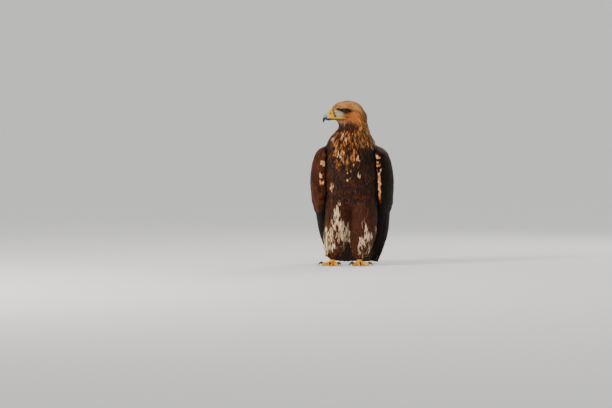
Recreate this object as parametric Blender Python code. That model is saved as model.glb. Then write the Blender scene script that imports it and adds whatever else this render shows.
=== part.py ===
"""Golden eagle, life size: it stands upright, faces -Y, turns its head to its right (-X) and lets its folded
wings hang beside the tail. Metres, +Z up, with the floor at z = 0 and the origin under the middle of the model.
"""

import math
import random

import bmesh
import bpy
from mathutils import Matrix, Vector, kdtree

MM = 0.001

# Driving sizes, in millimetres
CROWN_HEIGHT = 694.0
CHEST_HALF_WIDTH = 118.0
WING_HALF_SPAN = 173.0
NODE_GAP = 0.35
WELD_MM = 0.003
FLAT_DEG = 1.0  # neighbouring triangles bent less than this become one face
STRAIGHT_DEG = 0.3  # and points on an edge bent less than this are dropped
SAME_AREA = 0.0003  # the share by which merging may change a surface's area
EYE_RADIUS = 10.5
HEAD_TURN_DEG = 12.0
HEAD_AXIS_Y = -26.0
EYE_LEVEL = 640.0
RIGHT_FOOT_X = -80.0
LEFT_FOOT_X = 34.0
FEATHER_THICKNESS = 1.1
QUILL_THICKNESS = 2.0
SHAFT_RISE = 0.6
SHARP_ANGLE = math.radians(38)
ROOT_SHARE = 0.33
SHORT_STOPS = (0.0, 0.6, 1.0)
LONG_STOPS = (0.0, 0.4, 0.82, 1.0)
NECK_BASE_HEIGHT = 512.0
HEAD_BASE_HEIGHT = 597.0
COVERT_SHAPE = ((0, 0.36), (0.35, 0.48), (0.7, 0.5), (0.9, 0.36), (1, 0.10))

PLUMAGE_BROWN = ("plumage_brown", (0.085, 0.040, 0.022), 0.75)
PLUMAGE_GOLD = ("plumage_gold", (0.42, 0.20, 0.075), 0.7)
FLIGHT_FEATHER = ("flight_feather", (0.045, 0.027, 0.020), 0.6)
TROUSER_PALE = ("trouser_pale", (0.36, 0.25, 0.16), 0.8)
YELLOW_SKIN = ("yellow_skin", (0.85, 0.50, 0.03), 0.5)
HORN_DARK = ("horn_dark", (0.05, 0.055, 0.065), 0.25)
EYE_BROWN = ("eye_brown", (0.10, 0.045, 0.015), 0.08)

for leftover in list(bpy.data.objects):
    bpy.data.objects.remove(leftover, do_unlink=True)

eagle = bpy.data.collections.new("golden_eagle")
cutters = bpy.data.collections.new("cutters")
for group in (eagle, cutters):
    bpy.context.scene.collection.children.link(group)


# Shared ways of shaping

def material(finish):
    """The material of a finish, made once."""
    name, colour, roughness = finish
    made = bpy.data.materials.get(name)
    if made is None:
        made = bpy.data.materials.new(name)
        made.use_nodes = True
        shader = made.node_tree.nodes["Principled BSDF"]
        shader.inputs["Base Color"].default_value = (*colour, 1.0)
        shader.inputs["Roughness"].default_value = roughness
    return made


def make_object(name, mesh_data, finish):
    made = bpy.data.objects.new(name, mesh_data)
    made.data.materials.clear()
    made.data.materials.append(material(finish))
    eagle.objects.link(made)
    return made


def from_bmesh(name, bm, finish):
    data = bpy.data.meshes.new(name)
    bm.to_mesh(data)
    bm.free()
    return make_object(name, data, finish)


def smooth_row(stations, at):
    """The row at `at` of a smooth curve through the stations, each of which starts with its own place."""
    places = [row[0] for row in stations]
    order = 1 if places[-1] > places[0] else -1
    last = len(stations) - 2
    k = next((i for i in range(last + 1) if order * at <= order * places[i + 1]), last)
    a, b = stations[k], stations[k + 1]
    before, after = stations[max(k - 1, 0)], stations[min(k + 2, last + 1)]
    span = b[0] - a[0]
    t = min(max((at - a[0]) / span, 0.0), 1.0)
    row = []
    for p0, p1, p2, p3 in zip(before[1:], a[1:], b[1:], after[1:]):
        m1 = (p2 - p0) / (b[0] - before[0]) * span
        m2 = (p3 - p1) / (after[0] - a[0]) * span
        row.append(
            (2 * t**3 - 3 * t**2 + 1) * p1
            + (t**3 - 2 * t**2 + t) * m1
            + (3 * t**2 - 2 * t**3) * p2
            + (t**3 - t**2) * m2
        )
    return row


def loft(name, rings, finish, strip=False):
    """A closed solid through rings of equal point count, given in millimetres.

    Each end is a fan round its middle, or with strip the faces between the two long sides of a bent section.
    """
    bm = bmesh.new()
    rows = [[bm.verts.new(Vector(p) * MM) for p in ring] for ring in rings]
    count = len(rows[0])
    for low, high in zip(rows, rows[1:]):
        for i in range(count):
            j = (i + 1) % count
            bm.faces.new((low[i], low[j], high[j]))
            bm.faces.new((low[i], high[j], high[i]))
    for row in (rows[0], rows[-1]):
        if strip:
            for i in range(count // 2 - 1):
                bm.faces.new((row[i], row[i + 1], row[-1 - i]))
                bm.faces.new((row[i + 1], row[-2 - i], row[-1 - i]))
            continue
        hub = bm.verts.new(sum((v.co for v in row), Vector()) / count)
        for i in range(count):
            bm.faces.new((row[i], hub, row[(i + 1) % count]))
    bmesh.ops.recalc_face_normals(bm, faces=bm.faces)
    return from_bmesh(name, bm, finish)


def superellipse(angle, reach_x, reach_y, power):
    c, s = math.cos(angle), math.sin(angle)
    x = reach_x * math.copysign(abs(c) ** (2 / power), c)
    y = reach_y * math.copysign(abs(s) ** (2 / power), s)
    return x, y


def normal_of(surface, u, v):
    """Outward unit normal of a surface, whose u runs down and whose v runs anticlockwise seen from above."""
    du, dv = 2.0, 0.01
    along = surface(u + du, v) - surface(u - du, v)
    across = surface(u, v + dv) - surface(u, v - dv)
    return along.cross(across).normalized()


def vane(surface, root, tip, width, lifts, finish, outward=1, shape=None, stops=None, thick=None, roll=0.0):
    """A feather: a closed blade with a raised shaft that runs over a surface from root to tip, both (u, v).

    lifts are its heights over the surface at root and tip, shape its half widths as shares of width, stops
    its sections as shares of its length, and roll how much higher its left edge lies than its middle.
    """
    shape = shape or COVERT_SHAPE
    thick = thick or FEATHER_THICKNESS
    bm = bmesh.new()
    step = 1e-3
    sections = []
    for s in stops or SHORT_STOPS:
        u = root[0] + (tip[0] - root[0]) * s
        v = root[1] + (tip[1] - root[1]) * s
        here = surface(u, v)
        du = (surface(u + 1.0, v) - surface(u - 1.0, v)) / 2.0
        dv = (surface(u, v + step) - surface(u, v - step)) / (2 * step)
        lie = (du * (tip[0] - root[0]) + dv * (tip[1] - root[1])).normalized()
        normal = normal_of(surface, u, v) * outward
        side = normal.cross(lie).normalized()
        uu, uv, vv = du.dot(du), du.dot(dv), dv.dot(dv)
        det = max(uu * vv - uv * uv, 1e-9)
        a = (side.dot(du) * vv - side.dot(dv) * uv) / det
        b = (side.dot(dv) * uu - side.dot(du) * uv) / det
        half = width * smooth_row(shape, s)[0]
        lift = lifts[0] + (lifts[1] - lifts[0]) * min(1.0, s / ROOT_SHARE)
        edges = []
        for offset in (-half, half):
            point = surface(u + a * offset, v + b * offset)
            if (point - here).length > 1.6 * half:
                point = here + side * offset
            edges.append(point + normal * (lift - 2 * roll * offset / width))
        left, right = edges
        shaft = here + normal * (lift + SHAFT_RISE)
        ring = (left, shaft, right, right - normal * thick, left - normal * thick)
        sections.append([bm.verts.new(p * MM) for p in ring])
    for near, far in zip(sections, sections[1:]):
        for k in range(5):
            m = (k + 1) % 5
            if k in (0, 3):
                bm.faces.new((near[k], near[m], far[m]))
                bm.faces.new((near[k], far[m], far[k]))
            else:
                bm.faces.new((near[k], near[m], far[k]))
                bm.faces.new((near[m], far[m], far[k]))
    for ring in (sections[0], sections[-1]):
        for corners in ((0, 1, 4), (1, 3, 4), (1, 2, 3)):
            bm.faces.new([ring[c] for c in corners])
    bmesh.ops.recalc_face_normals(bm, faces=bm.faces)
    if bm.calc_volume(signed=True) < 0:
        bmesh.ops.reverse_faces(bm, faces=bm.faces)
    return from_bmesh("vane", bm, finish)


def baked(obj):
    """The object with its modifiers applied."""
    graph = bpy.context.evaluated_depsgraph_get()
    data = bpy.data.meshes.new_from_object(obj.evaluated_get(graph))
    obj.modifiers.clear()
    obj.data = data
    return obj


def shells_of(bm):
    """The faces of each separate closed surface, the widest surface first."""
    unseen = set(bm.faces)
    shells = []
    while unseen:
        seed = unseen.pop()
        shell, edge = [seed], [seed]
        while edge:
            for side in edge.pop().edges:
                for face in side.link_faces:
                    if face in unseen:
                        unseen.remove(face)
                        shell.append(face)
                        edge.append(face)
        shells.append(shell)
    return sorted(shells, key=lambda faces: sum(f.calc_area() for f in faces), reverse=True)


def part_touching(bm):
    """Moves points of one surface apart where they lie on each other without being joined."""
    bm.normal_update()
    tree = kdtree.KDTree(len(bm.verts))
    for index, vert in enumerate(bm.verts):
        tree.insert(vert.co, index)
    tree.balance()
    bm.verts.ensure_lookup_table()
    for index, vert in enumerate(bm.verts):
        for _, other, _ in tree.find_range(vert.co, WELD_MM * MM):
            if other < index:
                vert.co -= vert.normal * 3 * WELD_MM * MM


def area_of(bm):
    return sum(f.calc_area() for f in bm.faces)


def keep_largest(obj):
    """Leaves only the largest closed surface, its splinters merged and its flat places in few triangles."""
    whole = bmesh.new()
    whole.from_mesh(obj.data)
    spare = [f for shell in shells_of(whole)[1:] for f in shell]
    bmesh.ops.delete(whole, geom=spare, context="FACES")
    bmesh.ops.triangulate(whole, faces=whole.faces)
    for merged, flattened in ((True, True), (True, False), (False, True), (False, False)):
        bm = whole.copy()
        if merged:
            bmesh.ops.dissolve_degenerate(bm, dist=WELD_MM * MM, edges=bm.edges)
        if flattened:
            bmesh.ops.dissolve_limit(bm, angle_limit=math.radians(FLAT_DEG), verts=[], edges=bm.edges)
            bmesh.ops.dissolve_limit(bm, angle_limit=math.radians(STRAIGHT_DEG), verts=bm.verts, edges=[])
        bmesh.ops.triangulate(bm, faces=bm.faces)
        part_touching(bm)
        closed = all(len(e.link_faces) == 2 for e in bm.edges) and len(shells_of(bm)) == 1
        same = abs(area_of(bm) / area_of(whole) - 1) < SAME_AREA
        if (closed and same) or not (merged or flattened):
            bm.to_mesh(obj.data)
            bm.free()
            break
        bm.free()
    whole.free()
    return obj


def fuse(body, pieces):
    """Joins the pieces to the body in one Boolean union, and removes them."""
    group = bpy.data.collections.new(body.name + "_pieces")
    bpy.context.scene.collection.children.link(group)
    for piece in pieces:
        eagle.objects.unlink(piece)
        group.objects.link(piece)
    join = body.modifiers.new("join", "BOOLEAN")
    join.operation = "UNION"
    join.operand_type = "COLLECTION"
    join.collection = group
    join.solver = "MANIFOLD"
    baked(body)
    for piece in pieces:
        bpy.data.objects.remove(piece, do_unlink=True)
    bpy.data.collections.remove(group)
    return keep_largest(body)


def swollen(obj, by):
    """A copy of the mesh with each point moved outwards, which cuts the gap round its neighbour."""
    copy = bpy.data.objects.new(obj.name + "_cutter", obj.data.copy())
    copy.hide_render = True
    copy.display_type = "WIRE"
    cutters.objects.link(copy)
    bm = bmesh.new()
    bm.from_mesh(copy.data)
    bm.normal_update()
    places = [(v, v.co + v.normal * by * MM * min(v.calc_shell_factor(), 2.0)) for v in bm.verts]
    for v, place in places:
        v.co = place
    bm.to_mesh(copy.data)
    bm.free()
    return copy


def cut_by(obj, cutter):
    cut = obj.modifiers.new("cut", "BOOLEAN")
    cut.operation = "DIFFERENCE"
    cut.object = cutter
    cut.solver = "MANIFOLD"
    baked(obj)
    return obj


def clear_of(obj, *neighbours, gap=NODE_GAP):
    """Cuts from the object what reaches into its neighbours or nearer to them than the gap."""
    for neighbour in neighbours:
        if neighbour.name.endswith("_clearance"):
            cut_by(obj, neighbour)
            continue
        cutter = swollen(neighbour, gap)
        cut_by(obj, cutter)
        bpy.data.objects.remove(cutter, do_unlink=True)
    return keep_largest(obj)


def part_above(obj, point, normal):
    """Keeps the side of the plane that the normal points to, and closes the cut."""
    bm = bmesh.new()
    bm.from_mesh(obj.data)
    geometry = list(bm.verts) + list(bm.edges) + list(bm.faces)
    bmesh.ops.bisect_plane(
        bm, geom=geometry, plane_co=Vector(point) * MM, plane_no=normal, clear_inner=True
    )
    rim = [e for e in bm.edges if e.is_boundary]
    bmesh.ops.triangle_fill(bm, edges=rim, use_beauty=True)
    bmesh.ops.recalc_face_normals(bm, faces=bm.faces)
    bm.to_mesh(obj.data)
    bm.free()
    return keep_largest(obj)


def copied(obj, name, finish):
    return make_object(name, obj.data.copy(), finish)


def ball(name, centre, radii, finish, pole=Vector((0, 0, 1)), around=12, levels=7):
    """An ellipsoid, its last radius along its pole."""
    bm = bmesh.new()
    bmesh.ops.create_uvsphere(bm, u_segments=around, v_segments=levels, radius=1.0)
    place = (
        Matrix.Translation(Vector(centre) * MM)
        @ pole.to_track_quat("Z", "Y").to_matrix().to_4x4()
        @ Matrix.Diagonal((*[r * MM for r in radii], 1.0))
    )
    bmesh.ops.transform(bm, matrix=place, verts=bm.verts)
    bmesh.ops.triangulate(bm, faces=bm.faces)
    return from_bmesh(name, bm, finish)


def tube(name, path, radii, finish, sides=8, flat=1.0):
    """A closed tube through points in millimetres, each with its own radius, flat times as tall as wide."""
    rings = []
    for k, (point, radius) in enumerate(zip(path, radii)):
        ahead = (Vector(path[min(k + 1, len(path) - 1)]) - Vector(path[max(k - 1, 0)])).normalized()
        side = ahead.cross(Vector((0, 0, 1)))
        side = side.normalized() if side.length > 1e-3 else Vector((1, 0, 0))
        up = side.cross(ahead).normalized()
        ring = []
        for i in range(sides):
            turn = 2 * math.pi * i / sides
            ring.append(
                Vector(point) + side * radius * math.cos(turn) + up * radius * flat * math.sin(turn)
            )
        rings.append(ring)
    return loft(name, rings, finish)


# Trunk: the torso, neck and head core as one smooth body, parted later by two thin cuts

TRUNK_POWER = 2.15
HEAD_POWER = 2.0
FACE_POWER = 1.55
TRUNK_SIDES = 20
BODY_STATIONS = (  # height, half width, front and back
    (172, 0.17, 132, 170),
    (184, 0.44, 78, 188),
    (210, 0.71, -4, 197),
    (250, 0.85, -62, 188),
    (310, 0.95, -103, 164),
    (385, 1.00, -120, 132),
    (450, 0.975, -119, 104),
    (500, 0.87, -108, 77),
    (525, 0.79, -100, 62),
)
HEAD_STATIONS = (  # height, centre ahead of the neck's axis, reach to the bill, to the nape and sideways
    (552, -5, 76, 76, 64),
    (574, -8, 62, 67, 54),
    (592, -7, 60, 62, 45),
    (612, -3, 76, 61, 41),
    (640, 0, 85, 60, 40),
    (664, 5, 78, 52, 38),
    (681, 9, 58, 42, 32),
    (690, 13, 34, 28, 22),
    (CROWN_HEIGHT, 15, 8, 8, 6),
)


def trunk_stations():
    """Each level as height, centre x and y, turn, and the reach to the right, left, front and back."""
    rows = []
    for height, width, front, back in BODY_STATIONS:
        half = width * CHEST_HALF_WIDTH
        depth = (back - front) / 2
        rows.append((height, 0, (front + back) / 2, 0, half, half, depth, depth, TRUNK_POWER, TRUNK_POWER))
    for height, ahead, bill, nape, side in HEAD_STATIONS:
        turn = HEAD_TURN_DEG * min(1.0, (height - 540) / 52)
        face = HEAD_POWER + (FACE_POWER - HEAD_POWER) * min(1.0, (height - 545) / 60)
        rows.append((height, -ahead, HEAD_AXIS_Y, turn, bill, nape, side, side, face, HEAD_POWER))
    return rows


TRUNK_ROWS = trunk_stations()


def trunk_point(height, angle, grow=0.0):
    """The trunk's surface at a height, where angle 0 points left (+X) and grows towards the back."""
    x, y, turn, right, left, front, back, ahead_power, back_power = smooth_row(TRUNK_ROWS, height)
    power = back_power if math.cos(angle) > 0 else ahead_power
    side = left if math.cos(angle) > 0 else right
    depth = back if math.sin(angle) > 0 else front
    px, py = superellipse(angle, side + grow, depth + grow, power)
    turned = Matrix.Rotation(math.radians(turn), 2) @ Vector((x + px, py))
    return Vector((turned.x, turned.y + y, height))


def trunk_surface(depth, angle):
    """The trunk's surface with its first value running down from the crown."""
    return trunk_point(CROWN_HEIGHT - depth, angle)


def ring_angles(count):
    return [2 * math.pi * i / count for i in range(count)]


trunk_levels = [172, 181, 196, 218, 246, 282, 324, 368, 412, 450, 480, 503, 522, 540, 558]
trunk_levels += [576, 592, 606, 622, 638, 653, 667, 679, 688, CROWN_HEIGHT]


def trunk_loft(name, grow=0.0):
    rings = [[trunk_point(z, a, grow) for a in ring_angles(TRUNK_SIDES)] for z in trunk_levels]
    return loft(name, rings, PLUMAGE_BROWN)


trunk = trunk_loft("trunk")
trunk_clearance = trunk_loft("trunk_clearance", NODE_GAP + 0.15)


# Rump: the tail's coverts grow from the body and lie over and under the root of the tail

TAIL_ROOT = Vector((0, 150, 214))
TAIL_TIP = Vector((0, 291, 3))
TAIL_LENGTH = (TAIL_TIP - TAIL_ROOT).length
TAIL_WIDTH = 46.0
TAIL_FAN_DEG = 6.5
TAIL_PAIRS = 6
TAIL_SHAPE = ((0, 0.22), (0.3, 0.40), (0.75, 0.5), (0.93, 0.44), (1, 0.16))
TAIL_STOPS = (0.0, 0.5, 0.93, 1.0)
tail_lie = (TAIL_TIP - TAIL_ROOT).normalized()
tail_normal = Vector((1, 0, 0)).cross(tail_lie).normalized()
if tail_normal.y < 0:
    tail_normal.negate()


def tail_surface(depth, across):
    """The tail's upper side: depth down its length, across in radians of the fan, slightly arched."""
    spread = math.sin(across) * (depth + 170)
    arch = -0.0022 * spread * spread
    return TAIL_ROOT + tail_lie * depth + Vector((spread, 0, 0)) + tail_normal * arch


tail_outward = 1 if normal_of(tail_surface, 100, 0.0).dot(tail_normal) > 0 else -1
RUMP_WIDTH = 36.0
RUMP_TIERS = (  # depth of the roots and tips, count, fan between neighbours, lifts at root and tip
    (-34, 62, 4, 6.5, (-0.5, 7.5)),
    (-62, 24, 3, 6.5, (3.5, 11.5)),
    (-30, 74, 4, 6.0, (-12, -22)),
)
rump_coverts = []
draw = random.Random(31)
for root, tip, count, fan_deg, lifts in RUMP_TIERS:
    for k in range(count):
        fan = math.radians(fan_deg) * (k - (count - 1) / 2)
        rump_coverts.append(
            vane(
                tail_surface, (root, fan * 0.8), (tip + draw.uniform(-4, 4), fan), RUMP_WIDTH, lifts,
                PLUMAGE_BROWN, outward=tail_outward,
            )
        )

# Mantle: a column of feathers down the back, between the wings

MANTLE_LIFT = 3.0
MANTLE_TIERS = (  # height of the roots, length, width, and angles about the middle of the back
    (498, 78, 32, (-0.27, 0.27)),
    (454, 84, 46, (0.0,)),
    (398, 86, 46, (0.0,)),
    (338, 86, 46, (0.0,)),
    (276, 82, 44, (0.0,)),
)

# The cuts slope: the neck leaves the body lower in front, the head leaves the neck lower at the throat
NECK_CUT = ((0, -15, NECK_BASE_HEIGHT), Vector((0, -0.36, 0.93)).normalized())
HEAD_CUT = ((0, HEAD_AXIS_Y, HEAD_BASE_HEIGHT), Vector((-0.30, 0, 0.95)).normalized())


def between_cuts(source, name, finish, above=None, below=None):
    """The stretch of the trunk above one cut and below another, each held back by half the gap."""
    piece = copied(source, name, finish)
    if above:
        part_above(piece, Vector(above[0]) + above[1] * NODE_GAP / 2, above[1])
    if below:
        part_above(piece, Vector(below[0]) - below[1] * NODE_GAP / 2, -below[1])
    return piece


mantle = []
for height, length, width, places in MANTLE_TIERS:
    for across in places:
        angle = math.pi / 2 - across
        top = CROWN_HEIGHT - height
        mantle.append(
            vane(
                trunk_surface, (top, angle), (top + length + draw.uniform(-3, 3), angle), width,
                (-4.0, MANTLE_LIFT), PLUMAGE_BROWN,
            )
        )

torso = between_cuts(trunk, "torso", PLUMAGE_BROWN, below=NECK_CUT)
fuse(torso, rump_coverts + mantle)
neck = between_cuts(trunk, "neck", PLUMAGE_GOLD, above=NECK_CUT, below=HEAD_CUT)
head = between_cuts(trunk, "head", PLUMAGE_GOLD, above=HEAD_CUT)


# Head: brow ridges, sockets and lids round the eyes, and the seat of the bill

head_turn = math.radians(HEAD_TURN_DEG)
FORWARD = Vector((-math.cos(head_turn), -math.sin(head_turn), 0))
SIDEWAYS = Vector((math.sin(head_turn), -math.cos(head_turn), 0))
EYE_AHEAD = 28.0
EYE_OUT = 25.5
EYE_UP = 8.0
LID_OUT = 33.4
LID_POINTS = 12
LID_HALF_LENGTH = 8.6
LID_HALF_HEIGHT = 7.4
LID_THICK = 2.1
LID_SECTION = ((1.0, -1.2), (1.0, 0.5), (-0.2, 1.0), (-1.0, -1.2))


def in_head(ahead, out, up):
    """A point given ahead of the neck's axis, out to the bird's left and up from the eye level."""
    return Vector((0, HEAD_AXIS_Y, EYE_LEVEL)) + FORWARD * ahead + SIDEWAYS * out + Vector((0, 0, up))


brow_path = ((64, 17, 15.5), (50, 24.5, 18.0), (32, 31.5, 19.5), (14, 35, 18.0), (-4, 36.5, 13.0))
BROW_RADII = (3.2, 5.0, 6.0, 4.8, 2.4)
eyes = {}
brows = []
sockets = []
for side_name, side in (("l", 1), ("r", -1)):
    eye_centre = in_head(EYE_AHEAD, side * EYE_OUT, EYE_UP)
    gaze = SIDEWAYS * side + FORWARD * 0.2
    eyes[side_name] = ball("eye_" + side_name, eye_centre, [EYE_RADIUS] * 3, EYE_BROWN, gaze)
    sockets.append(ball("socket", eye_centre, [EYE_RADIUS + NODE_GAP] * 3, EYE_BROWN, gaze))
    path = [in_head(ahead, side * out, up) for ahead, out, up in brow_path]
    brows.append(tube("brow", path, BROW_RADII, PLUMAGE_GOLD, sides=6, flat=0.75))
    rim = bmesh.new()
    rows = []
    for angle in ring_angles(LID_POINTS):
        out = FORWARD * math.cos(angle) + Vector((0, 0, math.sin(angle)))
        ahead = LID_HALF_LENGTH * math.cos(angle)
        up = EYE_UP + LID_HALF_HEIGHT * math.sin(angle)
        centre = in_head(EYE_AHEAD + ahead, side * (LID_OUT - 0.16 * ahead), up)
        face = SIDEWAYS * side
        section = [centre + (out * c + face * f) * LID_THICK for c, f in LID_SECTION]
        rows.append([rim.verts.new(p * MM) for p in section])
    for near, far in zip(rows, rows[1:] + rows[:1]):
        for k in range(4):
            m = (k + 1) % 4
            rim.faces.new((near[k], near[m], far[m]))
            rim.faces.new((near[k], far[m], far[k]))
    bmesh.ops.recalc_face_normals(rim, faces=rim.faces)
    brows.append(from_bmesh("lid", rim, PLUMAGE_GOLD))
fuse(head, brows)
for socket in sockets:
    cut_by(head, socket)
    bpy.data.objects.remove(socket, do_unlink=True)
keep_largest(head)


# Bill: the hooked upper half in two nodes, the yellow cere with its gape line, and the lower half

BILL_TOP = ((76, 22), (92, 13), (101.5, 4), (111, -5), (117.5, -15), (120.5, -25), (120, -33), (117, -40))
BILL_EDGE = ((74, -19), (87, -20), (96, -21), (103, -23.5), (108, -26.5), (111.5, -30.5), (114, -35), (115.8, -39.6))
BILL_HALF = (16, 13.5, 11.5, 9.5, 7.5, 5.2, 3.4, 0.8)
GAPE_RADII = (3.2, 3.4, 3.4, 3.4, 2.0)
NOSTRIL_AHEAD, NOSTRIL_OUT, NOSTRIL_UP = 88, 14.2, -2.5
NOSTRIL_RADII = (2.4, 2.2, 4.2)
GAPE_PATH = ((84, 12.0, -19.6), (70, 14.6, -20.4), (54, 22.6, -20.2), (40, 29.0, -20.0), (28, 33.0, -21.4))
BILL_ROOF = ((0, 1), (0.55, 0.9), (0.88, 0.66), (1, 0.34), (0.94, 0.0), (0.45, 0.04))
BILL_SECTION = (*BILL_ROOF, (0, 0.06), *[(-x, up) for x, up in BILL_ROOF[:0:-1]])
CERE_RINGS = 3


def bill_ring(top, edge, half, keel=False):
    """A section from the ridge to the cutting edges: a rounded roof, or with keel a rounded trough."""
    upper, lower = in_head(top[0], 0, top[1]), in_head(edge[0], 0, edge[1])
    ring = []
    for across, up in BILL_SECTION:
        share = 1 - up if keel else up
        ring.append(lower.lerp(upper, share) + SIDEWAYS * across * half)
    return ring


bill_rings = [bill_ring(*row) for row in zip(BILL_TOP, BILL_EDGE, BILL_HALF)]
seam = [[p + FORWARD * NODE_GAP * 1.2 for p in bill_rings[CERE_RINGS - 1]]]
cere = loft("cere", bill_rings[:CERE_RINGS], YELLOW_SKIN)
bill_upper = loft("bill_upper", seam + bill_rings[CERE_RINGS:], HORN_DARK)

gapes = []
for side in (1, -1):
    path = [in_head(ahead, side * out, up) for ahead, out, up in GAPE_PATH]
    gapes.append(tube("gape", path, GAPE_RADII, YELLOW_SKIN, flat=0.66))
nostrils = []
for side in (1, -1):
    place = in_head(NOSTRIL_AHEAD, side * NOSTRIL_OUT, NOSTRIL_UP)
    nostrils.append(ball("nostril", place, NOSTRIL_RADII, YELLOW_SKIN, around=10, levels=6))
fuse(cere, gapes)
for nostril in nostrils:
    cut_by(cere, nostril)
    bpy.data.objects.remove(nostril, do_unlink=True)

LOWER_TOP = ((64, -20.0), (84, -20.0), (95, -21.0), (102, -23.6), (106.5, -27.0))
LOWER_KEEL = ((62, -37), (82, -36.5), (93, -34.5), (101, -31.5), (105.5, -28.6))
LOWER_HALF = (15, 11.5, 9.0, 6.4, 1.6)
lower_rings = [bill_ring(*row, keel=True) for row in zip(LOWER_TOP, LOWER_KEEL, LOWER_HALF)]
bill_lower = loft("bill_lower", lower_rings, HORN_DARK)
clear_of(cere, head)
clear_of(bill_upper, cere)
clear_of(bill_lower, cere, bill_upper, head)


# Wings: a sheet hung beside the body carries the arm, the covert tiers and the flight feathers

SHEET_STATIONS = (  # height, front edge x and y, widest x share and y, back edge x and y
    (512, 84, -18, 0.56, 15, 60, 62),
    (503, 92, -36, 0.66, 20, 50, 76),
    (488, 101, -54, 0.785, 25, 42, 90),
    (460, 106, -62, 0.892, 30, 35, 105),
    (410, 112, -60, 0.965, 40, 30, 127),
    (350, 116, -46, 1.0, 55, 27, 152),
    (299, 119, -24, 0.99, 75, 26, 174),
    (257, 122, 2, 0.975, 95, 25, 190),
    (225, 123, 28, 0.94, 115, 26, 203),
    (190, 123, 60, 0.90, 145, 34, 217),
    (128, 120, 130, 0.825, 190, 62, 240),
    (66, 115, 195, 0.727, 232, 88, 258),
    (20, 104, 248, 0.625, 260, 98, 268),
    (0, 100, 262, 0.58, 272, 98, 274),
)
ARM_BOTTOM = 250.0
ARM_LEVELS = (512, 502, 482, 448, 400, 345, 295, ARM_BOTTOM)
QUILL_LEVELS = (ARM_BOTTOM - NODE_GAP, 234, 218)
WIDEST_ACROSS = 0.4
ARM_DEPTH_STATIONS = (  # height, share of the way in to the body's axis
    (512, 0.55),
    (460, 0.45),
    (410, 0.34),
    (350, 0.27),
    (299, 0.21),
    (ARM_BOTTOM, 0.15),
    (200, 0.10),
)


def sheet_point(depth, across, mirror=1):
    """The wing's outer surface: depth runs down from 520 mm, across from the front edge to the back edge."""
    height = 520.0 - depth
    xf, yf, widest, yw, xb, yb = smooth_row(SHEET_STATIONS, height)
    wide = widest * WING_HALF_SPAN
    if across <= WIDEST_ACROSS:
        turn = across / WIDEST_ACROSS * math.pi / 2
        x = xf + (wide - xf) * math.sin(turn)
        y = yw - (yw - yf) * math.cos(turn)
    else:
        turn = (across - WIDEST_ACROSS) / (1 - WIDEST_ACROSS) * math.pi / 2
        x = xb + (wide - xb) * math.cos(turn)
        y = yw + (yb - yw) * math.sin(turn)
    return Vector((mirror * x, y, height))


def sheet_axis(height):
    """The body's middle at a height, towards which the wing has its thickness."""
    front, back = smooth_row(BODY_STATIONS, max(height, 200))[1:3]
    return Vector((0, (front + back) / 2, height))


def wing_block(name, mirror, levels, across, near, far, finish, steps=10):
    """A closed block under the sheet, from near to far as shares of the way in to the body's axis."""
    rings = []
    for height in levels:
        depth_share = smooth_row(ARM_DEPTH_STATIONS, height)[0]
        axis = sheet_axis(height)
        line = [across[0] + (across[1] - across[0]) * i / steps for i in range(steps + 1)]
        outer = [sheet_point(520 - height, v, mirror) for v in line]
        ring = [p.lerp(axis, near * depth_share) for p in outer]
        ring += [p.lerp(axis, far * depth_share) for p in reversed(outer)]
        rings.append(ring)
    return loft(name, rings, finish, strip=True)


def wing_vanes(mirror, tiers, finish, seed, thick=None):
    """The feathers of some tiers: each row lies over the one below it, each front edge over its neighbour."""
    draw = random.Random(seed)
    made = []

    def surface(u, v):
        return sheet_point(u, v, mirror)

    for tier in tiers:
        count = tier["count"]
        for i in range(count):
            share = i / max(count - 1, 1)
            root = [a + (b - a) * share for a, b in zip(*tier["roots"])]
            tip = [a + (b - a) * share for a, b in zip(*tier["tips"])]
            bow = tier.get("bow", 0.0) * math.sin(math.pi * share) ** 0.8
            tip[0] += bow + draw.uniform(-1, 1) * tier.get("jitter", 2.0)
            lifts = [lift + tier.get("stack", 0.0) * i for lift in tier["lifts"]]
            made.append(
                vane(
                    surface, root, tip, tier["width"] * draw.uniform(0.95, 1.05), lifts, finish,
                    outward=mirror, shape=tier.get("shape"), stops=tier.get("stops"), thick=thick,
                    roll=tier.get("roll", 0.8) * mirror,
                )
            )
    return made


FLIGHT_SHAPE = ((0, 0.30), (0.35, 0.46), (0.7, 0.5), (0.9, 0.38), (1, 0.08))
PRIMARY_SHAPE = ((0, 0.36), (0.35, 0.5), (0.65, 0.46), (0.88, 0.30), (1, 0.05))

# Depths in each tier are down from 520 mm, and each place is (depth, across)
COVERT_TIERS = (
    {"count": 7, "roots": ((206, 0.07), (200, 0.95)), "tips": ((298, 0.11), (272, 0.97)),
     "width": 43, "lifts": (-4.0, 2.2)},
    {"count": 6, "roots": ((144, 0.07), (140, 0.86)), "tips": ((230, 0.10), (214, 0.92)),
     "width": 50, "lifts": (-4.0, 3.6)},
    {"count": 5, "roots": ((88, 0.07), (88, 0.72)), "tips": ((164, 0.08), (158, 0.78)),
     "width": 49, "lifts": (-4.0, 3.8)},
    {"count": 3, "roots": ((42, 0.14), (46, 0.54)), "tips": ((108, 0.11), (106, 0.60)),
     "width": 42, "lifts": (-4.0, 3.8)},
    {"count": 2, "roots": ((58, 0.78), (84, 0.93)), "tips": ((146, 0.83), (194, 0.95)),
     "width": 46, "lifts": (-4.0, 5.6)},
)
SECONDARY_TIERS = (
    {"count": 6, "roots": ((272, 0.28), (266, 0.78)), "tips": ((432, 0.38), (412, 0.86)),
     "width": 46, "lifts": (-9.0, -6.0), "shape": FLIGHT_SHAPE, "roll": 0.0, "stack": 1.0},
    {"count": 2, "roots": ((268, 0.86), (268, 0.94)), "tips": ((372, 0.88), (350, 0.96)),
     "width": 46, "lifts": (-6.0, 0.0), "shape": FLIGHT_SHAPE, "roll": 0.0, "stack": 1.0},
)
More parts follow.
